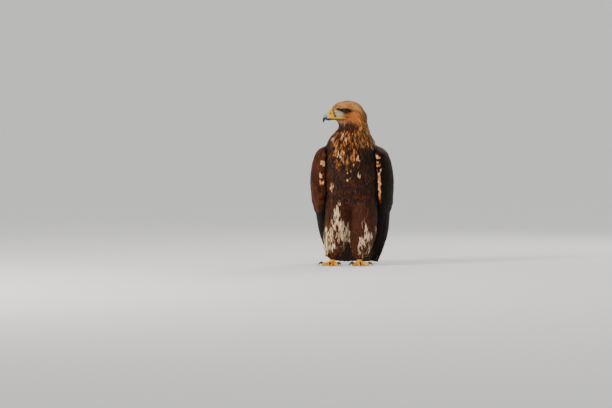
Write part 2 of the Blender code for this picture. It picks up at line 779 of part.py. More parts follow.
PRIMARY_TIERS = (
    {"count": 6, "roots": ((272, 0.10), (272, 0.38)), "tips": ((452, 0.10), (436, 0.64)),
     "bow": 66, "width": 40, "lifts": (-16.0, -15.0), "stops": LONG_STOPS, "shape": PRIMARY_SHAPE,
     "jitter": 4.0, "roll": 0.0, "stack": 1.0},
)

wings = []
for side_name, mirror in (("l", 1), ("r", -1)):
    arm = wing_block(
        "wing_" + side_name, mirror, ARM_LEVELS, (0.0, 1.0), 0.06, 1.0, PLUMAGE_BROWN, 8
    )
    fuse(arm, wing_vanes(mirror, COVERT_TIERS, PLUMAGE_BROWN, 11))
    clear_of(arm, trunk_clearance)
    secondaries = wing_block(
        "wing_%s_secondaries" % side_name, mirror, QUILL_LEVELS, (0.22, 0.99), 0.20, 0.50, FLIGHT_FEATHER, 7
    )
    fuse(secondaries, wing_vanes(mirror, SECONDARY_TIERS, FLIGHT_FEATHER, 12, QUILL_THICKNESS))
    primaries = wing_block(
        "wing_%s_primaries" % side_name, mirror, QUILL_LEVELS, (0.05, 0.44), 0.56, 0.98, FLIGHT_FEATHER, 5
    )
    fuse(primaries, wing_vanes(mirror, PRIMARY_TIERS, FLIGHT_FEATHER, 13, QUILL_THICKNESS))
    clear_of(secondaries, trunk_clearance, arm)
    clear_of(primaries, trunk_clearance, arm, secondaries)
    wings += [arm, secondaries, primaries]


# Legs: feathered thighs, the shanks below them, bare yellow toes and black claws

THIGH_TOP = 296.0
THIGH_STATIONS = (  # height, share of the way from the foot's x to the hip's, y, half width, half depth
    (THIGH_TOP, 1.0, -22, 44, 62),
    (262, 1.0, -17, 53, 68),
    (232, 1.0, -15, 56, 66),
    (190, 0.92, -14, 56, 60),
    (140, 0.74, -12, 55, 51),
    (100, 0.52, -6, 51, 44),
    (70, 0.30, -1, 43, 36),
    (48, 0.08, 2, 30, 27),
)
HIP_X = 54.0
SHANK_TOP = 48.0
SHANK_BOTTOM = 23.0
THIGH_LEVELS = (THIGH_TOP, 270, 238, 210, 178, 144, 114, 88, 66, SHANK_TOP)
SHANK_RINGS = ((SHANK_BOTTOM, 14), (32, 17), (40, 19), (SHANK_TOP - NODE_GAP, 20))  # height, half width
ANKLE_RINGS = ((-1, 13), (4, 15), (12, 14.5), (19, 12.5), (SHANK_BOTTOM - NODE_GAP, 11))
ANKLE_Y = 2.0
LEG_DEPTH = 1.1  # how much deeper than wide the shank and ankle are
TOE_SINK = 6.0
TOE_STEPS = ((0.0, 13.0, 1.15), (0.3, 10.5, 1.1), (0.55, 7.4, 1.02), (0.8, 7.0, 1.06), (1.0, 10.5, 0.84))
TOE_RADIUS = 7.2
CLAW_RINGS = 6
CLAW_RADIUS = 5.4
CLAW_POINT = 0.45
CLAW_SINK = 5.0
CLAW_ARCH = 12.5
CLAW_TIP_HEIGHT = 0.6
TOES = (  # name, angle from straight ahead towards the bird's outer side, length, claw's reach
    ("1", 172, 37, 33),
    ("2", -34, 43, 31),
    ("3", 6, 61, 27),
    ("4", 56, 46, 24),
)
THIGH_TIERS = (  # height of the roots and tips, count, width, and lifts
    (178, 102, 6, 46, (-3.0, 3.0)),
    (116, 35, 6, 34, (-3.0, 3.0)),
)
THIGH_SHAPE = ((0, 0.40), (0.4, 0.5), (0.75, 0.36), (1, 0.07))


def thigh_point(depth, angle, foot_x, mirror):
    height = THIGH_TOP - depth
    share, y, half, deep = smooth_row(THIGH_STATIONS, height)
    x = foot_x + (mirror * HIP_X - foot_x) * share
    px, py = superellipse(angle, half, deep, 2.0)
    return Vector((x + px, y + py, height))


legs = []
for side_name, mirror, foot_x in (("l", 1, LEFT_FOOT_X), ("r", -1, RIGHT_FOOT_X)):

    def thigh_surface(depth, angle, foot_x=foot_x, mirror=mirror):
        return thigh_point(depth, angle, foot_x, mirror)

    thigh = loft(
        "thigh_" + side_name,
        [[thigh_surface(THIGH_TOP - z, a) for a in ring_angles(16)] for z in THIGH_LEVELS],
        TROUSER_PALE,
    )
    locks = []
    draw = random.Random(21)
    for tier, (root, tip, count, width, lifts) in enumerate(THIGH_TIERS):
        for k in range(count):
            angle = 2 * math.pi * (k + 0.5 * tier) / count
            end = THIGH_TOP - tip + draw.uniform(-5, 5)
            locks.append(
                vane(
                    thigh_surface, (THIGH_TOP - root, angle), (end, angle), width, lifts,
                    TROUSER_PALE, shape=THIGH_SHAPE,
                )
            )
    fuse(thigh, locks)
    clear_of(thigh, trunk_clearance, *[w for w in wings if w.name.startswith("wing_" + side_name)])
    legs.append(thigh)

    ankle = Vector((foot_x, ANKLE_Y, 0))

    def leg_rings(rows, sides):
        return [
            [ankle + Vector((*superellipse(a, r, r * LEG_DEPTH, 2.0), z)) for a in ring_angles(sides)]
            for z, r in rows
        ]

    shank = loft("shank_" + side_name, leg_rings(SHANK_RINGS, 12), TROUSER_PALE)
    foot = loft("foot_" + side_name, leg_rings(ANKLE_RINGS, 10), YELLOW_SKIN)
    toes = []
    claws = []
    for toe_name, degrees, length, reach in TOES:
        turn = math.radians(degrees)
        ahead = Vector((mirror * math.sin(turn), -math.cos(turn), 0))
        thick = TOE_RADIUS + length * 0.02
        path = [ankle + ahead * (length + TOE_SINK) * s + Vector((0, 0, z)) for s, z, _ in TOE_STEPS]
        toes.append(tube("toe", path, [thick * f for _, _, f in TOE_STEPS], YELLOW_SKIN))
        base = path[-1]
        claw_path, claw_radii = [], []
        for k in range(CLAW_RINGS):
            t = k / (CLAW_RINGS - 1)
            height = (1 - t) ** 2 * base.z + 2 * t * (1 - t) * (base.z + CLAW_ARCH) + t * t * CLAW_TIP_HEIGHT
            claw_path.append(base + ahead * (reach * t - CLAW_SINK) + Vector((0, 0, height - base.z)))
            claw_radii.append(CLAW_RADIUS * (1 - t) ** 0.75 + CLAW_POINT)
        claws.append(
            tube("claw_%s_%s" % (side_name, toe_name), claw_path, claw_radii, HORN_DARK, sides=5, flat=1.15)
        )
    fuse(foot, toes)
    part_above(foot, (0, 0, 0), Vector((0, 0, 1)))
    for claw in claws:
        clear_of(claw, foot)
        part_above(claw, (0, 0, 0.05), Vector((0, 0, 1)))
    clear_of(shank, foot, thigh)
    legs += [shank, foot, *claws]
clear_of(bpy.data.objects["thigh_r"], bpy.data.objects["thigh_l"])


# Tail: twelve long feathers in a narrow fan, the middle pair on top

TAIL_STUMP = ((-24, 26), (4, 30), (30, 30), (52, 20))  # depth and half width of the flesh under the quills
TAIL_STUMP_SUNK = 5.0
tail = tube(
    "tail",
    [TAIL_ROOT + tail_lie * depth - tail_normal * TAIL_STUMP_SUNK for depth, _ in TAIL_STUMP],
    [half for _, half in TAIL_STUMP],
    FLIGHT_FEATHER,
    sides=10,
    flat=0.36,
)
tail_feathers = []
for k in range(TAIL_PAIRS):
    for mirror in (1, -1):
        fan = mirror * math.radians(TAIL_FAN_DEG) * (k + 0.5) / TAIL_PAIRS * 1.9
        reach = TAIL_LENGTH * (1 - 0.004 * k * k)
        low = -1.55 * k - (0.75 if mirror < 0 else 0.0)
        tail_feathers.append(
            vane(
                tail_surface, (0, fan * 0.8), (reach, fan), TAIL_WIDTH, (low - 3.5, low),
                FLIGHT_FEATHER, outward=tail_outward, shape=TAIL_SHAPE, stops=TAIL_STOPS, thick=QUILL_THICKNESS,
            )
        )
fuse(tail, tail_feathers)
part_above(tail, (0, 0, 0), Vector((0, 0, 1)))

clear_of(torso, *[w for w in wings if w.name in ("wing_l", "wing_r")])
clear_of(tail, torso, *wings)


# Hackles: pointed golden feathers in tiers down the nape and the sides of the neck

HACKLE_WIDTH = 25.0
HACKLE_SHAPE = ((0, 0.34), (0.35, 0.5), (0.6, 0.46), (1, 0.05))
HACKLE_TIERS = (  # height of the roots, length, count, widest angles from the nape, lift at the tip
    (654, 46, 5, 1.0, 6.0),
    (632, 50, 6, 1.2, 9.5),
    (612, 54, 6, 1.3, 5.0),
    (586, 58, 7, 1.5, 5.0),
    (556, 60, 7, 1.65, 4.5),
)


def hackles(tiers, seed, below_cut=False):
    made = []
    draw = random.Random(seed)
    for height, length, count, spread, lift in tiers:
        nape = 0.25 + 0.9 * min(1.0, max(0.0, (600 - height) / 80))
        for k in range(count):
            angle = nape + spread * (2 * k / (count - 1) - 1) + draw.uniform(-0.03, 0.03)
            top = CROWN_HEIGHT - height
            if below_cut:
                place, lean = HEAD_CUT
                x = trunk_surface(top, angle).x
                top = max(top, CROWN_HEIGHT - place[2] + lean.x / lean.z * x + 7)
            made.append(
                vane(
                    trunk_surface, (top, angle), (top + length + draw.uniform(-4, 4), angle), HACKLE_WIDTH,
                    (-4.0, lift + draw.uniform(-0.6, 0.6)), PLUMAGE_GOLD, shape=HACKLE_SHAPE, roll=0.6,
                )
            )
    return made


fuse(head, hackles(HACKLE_TIERS[:2], 41))
fuse(neck, hackles(HACKLE_TIERS[2:], 42, below_cut=True))
clear_of(neck, torso, *[w for w in wings if w.name in ("wing_l", "wing_r")])
clear_of(head, neck)
for eye in eyes.values():
    clear_of(head, eye, gap=NODE_GAP)


# The origin goes under the middle of the whole model

for spare in (trunk, trunk_clearance):
    bpy.data.objects.remove(spare, do_unlink=True)
corners = [v.co for obj in eagle.objects for v in obj.data.vertices]
middle = Vector(
    (
        (min(c.x for c in corners) + max(c.x for c in corners)) / 2,
        (min(c.y for c in corners) + max(c.y for c in corners)) / 2,
        0,
    )
)
for obj in eagle.objects:
    obj.data.transform(Matrix.Translation(-middle))
    obj.data.update()
    obj.data.shade_smooth()
    obj.data.set_sharp_from_angle(angle=SHARP_ANGLE)
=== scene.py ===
"""The looks of a life-size golden eagle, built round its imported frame: skin, feathers, eyes, bill and feet.

It stands facing -Y with its head turned to its right (-X) and its folded wings hanging beside the tail.
"""

import math

import bmesh
import bpy
import numpy as np
from mathutils import Matrix, Vector, noise
from mathutils.bvhtree import BVHTree


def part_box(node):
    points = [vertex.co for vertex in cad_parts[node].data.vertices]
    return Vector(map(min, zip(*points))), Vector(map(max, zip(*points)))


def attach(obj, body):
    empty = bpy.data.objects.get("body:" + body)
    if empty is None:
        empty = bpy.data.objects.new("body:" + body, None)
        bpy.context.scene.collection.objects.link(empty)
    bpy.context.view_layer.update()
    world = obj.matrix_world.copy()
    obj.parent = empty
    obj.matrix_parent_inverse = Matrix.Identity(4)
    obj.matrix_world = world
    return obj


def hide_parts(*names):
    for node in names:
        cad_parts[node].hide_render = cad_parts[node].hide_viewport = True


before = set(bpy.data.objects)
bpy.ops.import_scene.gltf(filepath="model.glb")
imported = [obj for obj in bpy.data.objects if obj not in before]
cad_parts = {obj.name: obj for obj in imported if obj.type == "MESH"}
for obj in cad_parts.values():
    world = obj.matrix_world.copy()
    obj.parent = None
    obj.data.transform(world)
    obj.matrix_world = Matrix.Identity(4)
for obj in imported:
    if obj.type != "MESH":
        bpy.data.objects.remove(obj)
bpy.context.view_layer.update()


# Skin
# The body under the plumage: one closed surface over the head, neck, trunk, arms and feathered legs.
# It is grown from the frame's own forms, smoothed, and drawn in by the depth of the feathers on it.

MM = 0.001
SKIN_VOXEL = 3.4 * MM
BODY_COAT_DEPTH = 4.0 * MM
HEAD_COAT_DEPTH = 1.6 * MM
WING_COAT_DEPTH = 3.0 * MM
WING_REACH = 50 * MM
FLESH = ("head", "neck", "torso", "wing_l", "wing_r", "thigh_l", "thigh_r", "shank_l", "shank_r")
EYE_TO_AXIS = 0.0312
AXIS_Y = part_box("eye_l")[0].y + EYE_TO_AXIS  # the middle of the neck, which the head turns about
HEAD_TURN = math.radians(12)
EYE_LEVEL = 0.640
EYE_AHEAD = 28.0
EYE_OUT = 25.5
EYE_UP = 8.0
FORWARD = np.array([-math.cos(HEAD_TURN), -math.sin(HEAD_TURN), 0.0])
SIDEWAYS = np.array([math.sin(HEAD_TURN), -math.cos(HEAD_TURN), 0.0])
HEAD_MIDDLE = np.array([0.0, AXIS_Y, EYE_LEVEL])


def in_head(ahead, out, up):
    """A point in metres, from mm ahead of the neck's middle, out to its left and over the eye level."""
    return HEAD_MIDDLE + (FORWARD * ahead + SIDEWAYS * out + np.array([0, 0, up])) * MM


def head_places(points):
    """How far points lie ahead, out to the left and up in the head, in mm."""
    off = (points - HEAD_MIDDLE) / MM
    return off @ FORWARD, off @ SIDEWAYS, off[:, 2]


def ramp(values, low, high):
    t = np.clip((values - low) / (high - low), 0, 1)
    return t * t * (3 - 2 * t)


def shown(name, data, slot, *nodes):
    """Shows a mesh as a piece that rides on the body and stands for the frame's nodes."""
    piece = bpy.data.objects.new(name, data)
    bpy.context.scene.collection.objects.link(piece)
    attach(piece, "root")
    if nodes:
        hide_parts(*nodes)
    return piece


def finished(name, bm, slot, *nodes, material=None):
    """Makes a smooth shown piece of a bmesh."""
    data = bpy.data.meshes.new(name)
    bm.to_mesh(data)
    bm.free()
    data.shade_smooth()
    if material:
        data.materials.append(material)
    return shown(name, data, slot, *nodes)


WING_STATIONS = (  # height, then x and distance behind the neck's middle of the front edge, widest and back
    (512, 84, 8, 97, 41, 60, 88),
    (503, 92, -10, 114, 46, 50, 102),
    (488, 101, -28, 136, 51, 42, 116),
    (460, 106, -36, 154, 56, 35, 131),
    (410, 112, -34, 167, 66, 30, 153),
    (350, 116, -20, 173, 81, 27, 178),
    (299, 119, 2, 171, 101, 26, 200),
    (257, 122, 28, 169, 121, 25, 216),
    (225, 123, 54, 163, 141, 26, 229),
    (190, 113, 86, 158, 171, 32, 243),
    (128, 97, 150, 148, 216, 54, 266),
    (66, 84, 214, 130, 258, 66, 284),
    (20, 76, 268, 110, 286, 74, 294),
    (0, 74, 282, 103, 298, 76, 300),
)
WIDEST_ACROSS = 0.4
WING_FACE_HEIGHTS = (205, 511)


def smooth_rows(stations, at):
    """The rows at many places of a smooth curve through stations, each with its own place first."""
    table = np.array(sorted(stations), float)
    place, rows = table[:, 0], table[:, 1:]
    slope = np.empty_like(rows)
    slope[1:-1] = (rows[2:] - rows[:-2]) / (place[2:] - place[:-2])[:, None]
    slope[0] = (rows[1] - rows[0]) / (place[1] - place[0])
    slope[-1] = (rows[-1] - rows[-2]) / (place[-1] - place[-2])
    k = np.clip(np.searchsorted(place, at) - 1, 0, len(place) - 2)
    span = (place[k + 1] - place[k])[:, None]
    t = np.clip((at - place[k])[:, None] / span, 0, 1)
    return (
        (2 * t**3 - 3 * t**2 + 1) * rows[k]
        + (t**3 - 2 * t**2 + t) * slope[k] * span
        + (3 * t**2 - 2 * t**3) * rows[k + 1]
        + (t**3 - t**2) * slope[k + 1] * span
    )


def wing_point(height, across, mirror):
    """The folded wing's outer face in metres: across runs from 0 at its front edge to 1 at its back edge."""
    xf, yf, xw, yw, xb, yb = smooth_rows(WING_STATIONS, height).T
    ahead = across <= WIDEST_ACROSS
    past_widest = (across - WIDEST_ACROSS) / (1 - WIDEST_ACROSS)
    turn = np.where(ahead, across / WIDEST_ACROSS, past_widest) * math.pi / 2
    x = np.where(ahead, xf + (xw - xf) * np.sin(turn), xb + (xw - xb) * np.cos(turn))
    y = np.where(ahead, yw - (yw - yf) * np.cos(turn), yw + (yb - yw) * np.sin(turn))
    return np.stack([mirror * x, y + AXIS_Y / MM, height], 1) * MM


def wing_face(mirror):
    """The wing's outer face as a surface to measure from, facing out on the left and in on the right."""
    heights, shares = np.linspace(*WING_FACE_HEIGHTS, 70), np.linspace(0, 1, 31)
    u, v = np.meshgrid(heights, shares, indexing="ij")
    points = wing_point(u.ravel(), v.ravel(), mirror)
    across = len(shares)
    faces = []
    for i in range(len(heights) - 1):
        for j in range(across - 1):
            a = i * across + j
            faces.append((a, a + 1, a + across + 1, a + across))
    return BVHTree.FromPolygons([tuple(c) for c in points], faces)


def remeshed(piece, voxel):
    """A piece's closed solids grown together into one even surface, as a bmesh."""
    grown = piece.modifiers.new("grown", "REMESH")
    grown.mode = "VOXEL"
    grown.voxel_size = voxel
    bpy.context.view_layer.update()
    bm = bmesh.new()
    bm.from_object(piece, bpy.context.evaluated_depsgraph_get())
    piece.modifiers.clear()
    return bm


def smoothed(bm, verts, times):
    axes = {"use_axis_x": True, "use_axis_y": True, "use_axis_z": True}
    for _ in range(times):
        bmesh.ops.smooth_vert(bm, verts=verts, factor=0.5, **axes)


FACE_FOOT = 0.612  # the height over which the lids, brows and gape lie
FACE_CUTS = 1
ARM_HEIGHTS = (0.215, 0.52)
FLUFF = 9.0 * MM
FLUFF_HEIGHT = 0.545
FLUFF_SPREAD = 0.042
HEAD_COAT_FOOT = 0.61
SOCKET_HALF = (11.5, 9.5)
SOCKET_DEPTH = 9.0
SOCKET_OUT = 20
NAPE_HEIGHTS = (0.545, 0.684)
NAPE_FILL = 0.75  # bases that lie farther in than this share of the neck's width are left as they are
NAPE_STATIONS = (  # height, then the neck's middle ahead of the axis, its reach behind that and to each side
    (540, -5, 80, 70), (552, -5, 76, 64), (574, -8, 67, 54),
    (592, -7, 62, 45), (612, -3, 61, 41), (640, 0, 60, 40),
    (664, 5, 52, 38), (681, 9, 42, 32), (690, 13, 28, 22),
)


def is_face(v):
    """Whether a point of the skin belongs to the face, whose lids and brows are kept sharp."""
    off = v.co - Vector(HEAD_MIDDLE)
    return v.co.z > FACE_FOOT and off.dot(Vector(FORWARD)) > 0.0


def off_face():
    return [v for v in rough.verts if not is_face(v)]


flesh = bmesh.new()
flesh_home = []
for home, node in enumerate(FLESH):
    before = len(flesh.faces)
    flesh.from_mesh(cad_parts[node].data)
    flesh_home += [home] * (len(flesh.faces) - before)
flesh_tree = BVHTree.FromBMesh(flesh)
bmesh.ops.remove_doubles(flesh, verts=flesh.verts, dist=1e-6)
skin = finished("skin", flesh, "plumage_brown", *FLESH)
rough = remeshed(skin, SKIN_VOXEL)
smoothed(rough, off_face(), 26)
# The bases of the nape's hackles are drawn in the same way, to one smooth neck
behind_face = [v for v in rough.verts if NAPE_HEIGHTS[0] < v.co.z < NAPE_HEIGHTS[1]]
nape_places = np.array([v.co for v in behind_face])
nape_ahead, nape_out, _ = head_places(nape_places)
centre, reach, wide = smooth_rows(NAPE_STATIONS, nape_places[:, 2] / MM).T
over = np.hypot((nape_ahead - centre) / reach, nape_out / wide)
over = np.where((nape_ahead < centre) & (over > NAPE_FILL), 1 - 1 / np.maximum(over, NAPE_FILL), 0.0)
over = (np.maximum(over, 0) + np.minimum(over, 0) * ramp(centre - nape_ahead, 4, 18))[:, None]
nape_places -= (FORWARD * (nape_ahead - centre)[:, None] + SIDEWAYS * nape_out[:, None]) * MM * over
for v, place in zip(behind_face, nape_places):
    v.co = place
smoothed(rough, off_face(), 6)
# The wings' covert bases are drawn in under the wings' own faces, so that no row of them shows as a step
arms = {home for home, node in enumerate(FLESH) if node.startswith("wing")}
faces_by_side = {1: wing_face(1), -1: wing_face(-1)}
for v in rough.verts:
    if v.co.z < ARM_HEIGHTS[0] or v.co.z > ARM_HEIGHTS[1]:
        continue
    if flesh_home[flesh_tree.find_nearest(v.co)[2]] not in arms:
        continue
    mirror = 1 if v.co.x > 0 else -1
    near, facing, _, gap = faces_by_side[mirror].find_nearest(v.co)
    proud = (v.co - near).dot(facing) * mirror + WING_COAT_DEPTH
    if proud > 0 and gap < WING_REACH:
        v.co -= facing * mirror * proud
smoothed(rough, off_face(), 4)
# The face is cut finer and drawn back to the frame's own lids and brows
face_edges = [e for e in rough.edges if all(is_face(v) for v in e.verts)]
bmesh.ops.subdivide_edges(rough, edges=face_edges, cuts=FACE_CUTS, use_grid_fill=True)
for v in rough.verts:
    if is_face(v):
        ahead = (v.co - Vector(HEAD_MIDDLE)).dot(Vector(FORWARD)) / MM
        share = min(1.0, ahead / 10) * min(1.0, (v.co.z - FACE_FOOT) / 0.008)
        v.co = v.co.lerp(flesh_tree.find_nearest(v.co)[0], share)
smoothed(rough, [v for v in rough.verts if is_face(v)], 3)
rough.normal_update()
# The throat and upper breast are fluffed out on the bird's right
for v in rough.verts:
    fluff = FLUFF * math.exp(-(((v.co.z - FLUFF_HEIGHT) / FLUFF_SPREAD) ** 2)) * max(0.0, -v.normal.x)
    v.co += v.normal * fluff * min(1.0, max(0.0, (0.02 - v.co.x) / 0.05))
rough.normal_update()
# The whole skin lies in under the coat, and the eyes' sockets are sunk in it
inset = []
for v in rough.verts:
    inset.append(v.co - v.normal * (HEAD_COAT_DEPTH if v.co.z > HEAD_COAT_FOOT else BODY_COAT_DEPTH))
for v, place in zip(rough.verts, inset):
    v.co = place
for v in rough.verts:
    off = v.co - Vector(HEAD_MIDDLE)
    ahead, out, up = off.dot(Vector(FORWARD)) / MM, off.dot(Vector(SIDEWAYS)) / MM, off.z / MM
    near = ((ahead - EYE_AHEAD) / SOCKET_HALF[0]) ** 2 + ((up - EYE_UP) / SOCKET_HALF[1]) ** 2
    if near < 1 and abs(out) > SOCKET_OUT:
        sunk = SOCKET_DEPTH * (1 - near) ** 0.5
        v.co -= Vector(SIDEWAYS) * math.copysign(sunk, out) * MM
rough.normal_update()
skin_tree = BVHTree.FromBMesh(rough)
rough.to_mesh(skin.data)
rough.free()
skin.data.shade_smooth()


# Markings
# Where each colour of the plumage lies, alike for the skin and for the feathers that grow from it:
# tawny gold on crown and nape, rufous cheeks, a blackish brown body with pale spots, cream-patched legs.

BLACKISH = np.array([0.0070, 0.0031, 0.0020])
UMBER = np.array([0.030, 0.0096, 0.0042])
RUFOUS = np.array([0.23, 0.050, 0.011])
TAWNY = np.array([0.52, 0.165, 0.030])
GOLD = np.array([0.72, 0.33, 0.095])
STRAW = np.array([0.84, 0.60, 0.30])
BUFF = np.array([0.82, 0.46, 0.22])
CREAM = np.array([0.95, 0.76, 0.49])
LORE_GREY = np.array([0.55, 0.52, 0.40])
LORE_SHADE = np.array([0.20, 0.13, 0.06])

# Pale spots on breast and belly: across and up in mm, half width and half height, and strength
BREAST_SPOTS = (
    (-67, 546, 6, 8, 0.9), (-28, 559, 6, 8, 0.7), (-18, 546, 7, 6, 0.9), (-44, 491, 7, 11, 1.0),
    (-23, 472, 7, 8, 0.9), (29, 472, 5, 11, 0.9), (16, 457, 5, 8, 0.8), (-15, 421, 5, 8, 0.9),
    (1, 421, 5, 7, 0.8), (37, 407, 6, 9, 1.0), (-2, 395, 5, 11, 0.8), (-80, 363, 6, 17, 1.0),
    (-94, 352, 4, 10, 0.5), (-50, 300, 5, 16, 0.5), (6, 500, 6, 9, 0.45), (-8, 512, 5, 8, 0.4),
)
# Where cream streaks lie thick on the legs, in the same way
LEG_PATCHES = (
    (-60, 250, 11, 26, 1.0), (-66, 214, 15, 26, 1.0), (-44, 192, 17, 30, 1.0), (-26, 166, 17, 34, 1.0),
    (-49, 160, 16, 30, 0.9), (-82, 162, 11, 44, 1.0), (-78, 120, 15, 34, 1.0), (-103, 140, 10, 56, 1.0),
    (-108, 106, 10, 30, 1.0), (-16, 112, 14, 36, 0.6), (50, 132, 15, 22, 1.0), (70, 146, 10, 20, 0.9),
    (86, 158, 10, 16, 0.8), (66, 178, 7, 20, 0.8), (34, 100, 8, 26, 0.5), (84, 96, 16, 46, 0.45),
    (52, 212, 6, 12, 0.5), (100, 186, 5, 12, 0.6), (-14, 196, 7, 16, 0.7), (60, 70, 22, 30, 0.35),
)
STREAK_WIDE = 5.5
STREAK_LONG = 34.0
BODY_STREAKS = 5.0
LEG_STREAKS = 21.0


def spots_at(points, spots):
    """How strongly a set of spots covers points, seen on the bird's front."""
    x, z = points[:, 0] / MM, points[:, 2] / MM
    cover = np.zeros(len(points))
    for across, up, wide, tall, strength in spots:
        near = np.exp(-((((x - across) / wide) ** 2 + ((z - up) / tall) ** 2) ** 1.6))
        cover = np.maximum(cover, strength * near)
    return cover


def blend(colours, other, share):
    """Colours with a share of another in each: one colour or one for each share, on either side."""
    return colours + (np.asarray(other) - colours) * np.asarray(share)[:, None]


def streaks_at(points, seed):
    """Soft upright streaks over points, from about -1 to 1, as feathers of one kind hang together."""
    scale = Vector((1 / STREAK_WIDE, 1 / STREAK_WIDE, 1 / STREAK_LONG)) / MM
    return np.array([noise.noise(Vector(p) * scale + Vector((seed, 0, 0))) for p in points])


def plumage_at(points, chance):
    """The colours of the middle and of the rim of feathers rooted at points; chance is 0 to 1 for each."""
    ahead, out, up = head_places(points)
    x, z = points[:, 0] / MM, points[:, 2] / MM
    behind = np.degrees(np.arctan2(np.abs(out), -(ahead + 6)))
    streak = streaks_at(points, BODY_STREAKS)
    middle = BLACKISH * (0.8 + 0.7 * chance[:, None])
    rim = blend(UMBER, RUFOUS * 0.6, ramp(chance + 0.5 * streak, 0.45, 1.1))

    # Breast and belly: redder streaks low down and below the throat, scattered pale spots
    front = ramp(-(points[:, 1] - AXIS_Y) / MM, -10, 25)
    redder = front * ramp(z, 500, 330) * ramp(chance * 0.5 + streak, 0.0, 0.6)
    rim = blend(rim, RUFOUS * 0.9, redder * 0.9)
    middle = blend(middle, UMBER * 1.3, 0.7 * redder)
    throat = front * ramp(z, 425, 470) * ramp(np.abs(x + 24), 70, 34) * ramp(z, 606, 585)
    streaked = throat * ramp(chance * 0.5 + streak, 0.0, 0.45)
    rim = blend(rim, TAWNY * 0.62, streaked)
    middle = blend(middle, RUFOUS * 0.5, streaked * 0.6)
    bright = throat * ramp(chance + 0.4 * streak, 0.70, 0.80)
    rim = blend(rim, RUFOUS * 0.6, bright)
    middle = blend(middle, blend(TAWNY, GOLD * 0.9, ramp(streak, 0.0, 0.4)), bright)
    spots = spots_at(points, BREAST_SPOTS) * front
    spotted = ramp(spots + 0.3 * (chance - 0.5), 0.42, 0.56)
    rim = blend(rim, TAWNY * 0.6, spotted)
    middle = blend(middle, blend(BUFF * 0.9, CREAM * 0.85, ramp(chance, 0.4, 1.0)), spotted)

    # Legs: rufous brown with streaks of cream
    leg = ramp(z, 320, 215) * ramp(points[:, 1] / MM, 30, -40)
    rim = blend(rim, RUFOUS * 0.9, leg * 0.75)
    middle = blend(middle, UMBER * 1.3, leg * 0.8)
    patch = spots_at(points, LEG_PATCHES) * (0.80 + 1.5 * streaks_at(points, LEG_STREAKS))
    patch = patch + 0.35 * (chance - 0.5)
    patch = ramp(patch, 0.20, 0.58) * ramp(-(points[:, 1] - AXIS_Y) / MM, -50, -15)
    low = leg * ramp(z, 120, 60) * ramp(chance + streak, 0.3, 0.8)
    rim = blend(rim, TAWNY * 0.8, low)
    rim = blend(rim, blend(CREAM, BUFF, 0.4 * chance), patch)
    middle = blend(middle, blend(CREAM, TAWNY, 0.35 * chance), patch * (chance > 0.2))

    # Nape and crown: gold rims on dark middles, which fade to plain straw and gold on the crown; the paler
    # straw towards the crown's top is partly a painted highlight
    nape = ramp(behind + 14 * streak, 84, 62) * ramp(z, 503, 522) * ramp(z, 700, 560) + ramp(z, 604, 625)
    nape = np.clip(nape, 0, 1)
    rim = blend(rim, blend(GOLD, TAWNY, 0.7 * chance), nape)
    middle = blend(middle, UMBER * 1.2, nape)
    face = ramp(z, 596, 616)
    crown = face * ramp(up + 0.10 * ahead, 12, 24)
    # Rims grow paler towards the top of the crown: partly its own straw colour, partly a painted highlight on
    # the lit top
    pale = ramp(up, 22, 44) * ramp(chance, 0.1, 0.8)
    rim = blend(rim, blend(GOLD * 1.05, STRAW * 1.05, pale), crown)
    plain = blend(GOLD * 0.85, RUFOUS, ramp(chance + 0.5 * streak, 0.35, 0.95))
    middle = blend(middle, plain, crown * 0.9)
    forehead = face * ramp(ahead, 52, 66) * ramp(up, 14, 22) * ramp(chance, 0.3, 0.7)
    middle = blend(middle, RUFOUS * 0.8, forehead)
    rim = blend(rim, TAWNY, forehead * 0.8)
    cheek = face * ramp(up, 14, 6) * ramp(ahead, -46, -22)
    rim = blend(rim, blend(TAWNY * 1.15, GOLD, 0.5 * chance), cheek)
    middle = blend(middle, blend(TAWNY * 0.8, RUFOUS, ramp(chance, 0.3, 0.9)), cheek)
    below_eye = face * np.exp(-(((ahead - 24) / 11) ** 2 + ((up + 15) / 5) ** 2))
    rim = blend(rim, RUFOUS, below_eye * 0.8)
    middle = blend(middle, RUFOUS * 0.45, below_eye)
    chin = ramp(z + 22 * streak, 590, 606) * ramp(up + 6 * streak, -18, -25)
    chin = chin * ramp(ahead + 16 * streak, 8, 34)
    rim = blend(rim, BUFF * 0.6, chin * ramp(chance, 0.1, 0.5))
    middle = blend(middle, blend(BUFF * 0.42, RUFOUS * 0.5, ramp(chance, 0.3, 0.7)), chin)
    under = ramp(z, 606, 592) * ramp(behind, 55, 85)
    under = under * ramp(z, 566, 590) * (1 - chin)
    rim = blend(rim, RUFOUS * 0.5, under * 0.85)
    middle = blend(middle, BLACKISH * 1.3, under)

    # Face: pale grey lores before the eye, and a dark brow over it that thins out behind
    shaken = 5 * (chance - 0.5)
    lore = face * ramp(ahead + shaken, 37, 46) * ramp(ahead, 92, 84) * ramp(up + 1.4 * shaken, -19, -11)
    lore = lore * ramp(up + shaken, 13, 7)
    rim = blend(rim, LORE_GREY, lore)
    middle = blend(middle, blend(LORE_GREY, LORE_SHADE, ramp(chance, 0.45, 0.8)), lore)
    brow_top = 20.5 - 0.018 * (ahead - 30) ** 2 * (ahead < 30)
    brow_foot = 2.0 + np.where(ahead > EYE_AHEAD, 0.26, -0.2) * (ahead - EYE_AHEAD)
    brow = face * ramp(up, brow_top, brow_top - 3) * ramp(up, brow_foot - 2, brow_foot + 1)
    brow = brow * ramp(ahead + shaken, -2, 12) * ramp(ahead + shaken, 72, 62)
    rim = blend(rim, UMBER * 0.7, brow)
    middle = blend(middle, BLACKISH, brow)
    return np.clip(middle, 0, 1), np.clip(rim, 0, 1)


def new_material(name):
    """A new material, its node tree and its shader."""
    made = bpy.data.materials.new(name)
    made.use_nodes = True
    return made, made.node_tree, made.node_tree.nodes["Principled BSDF"]


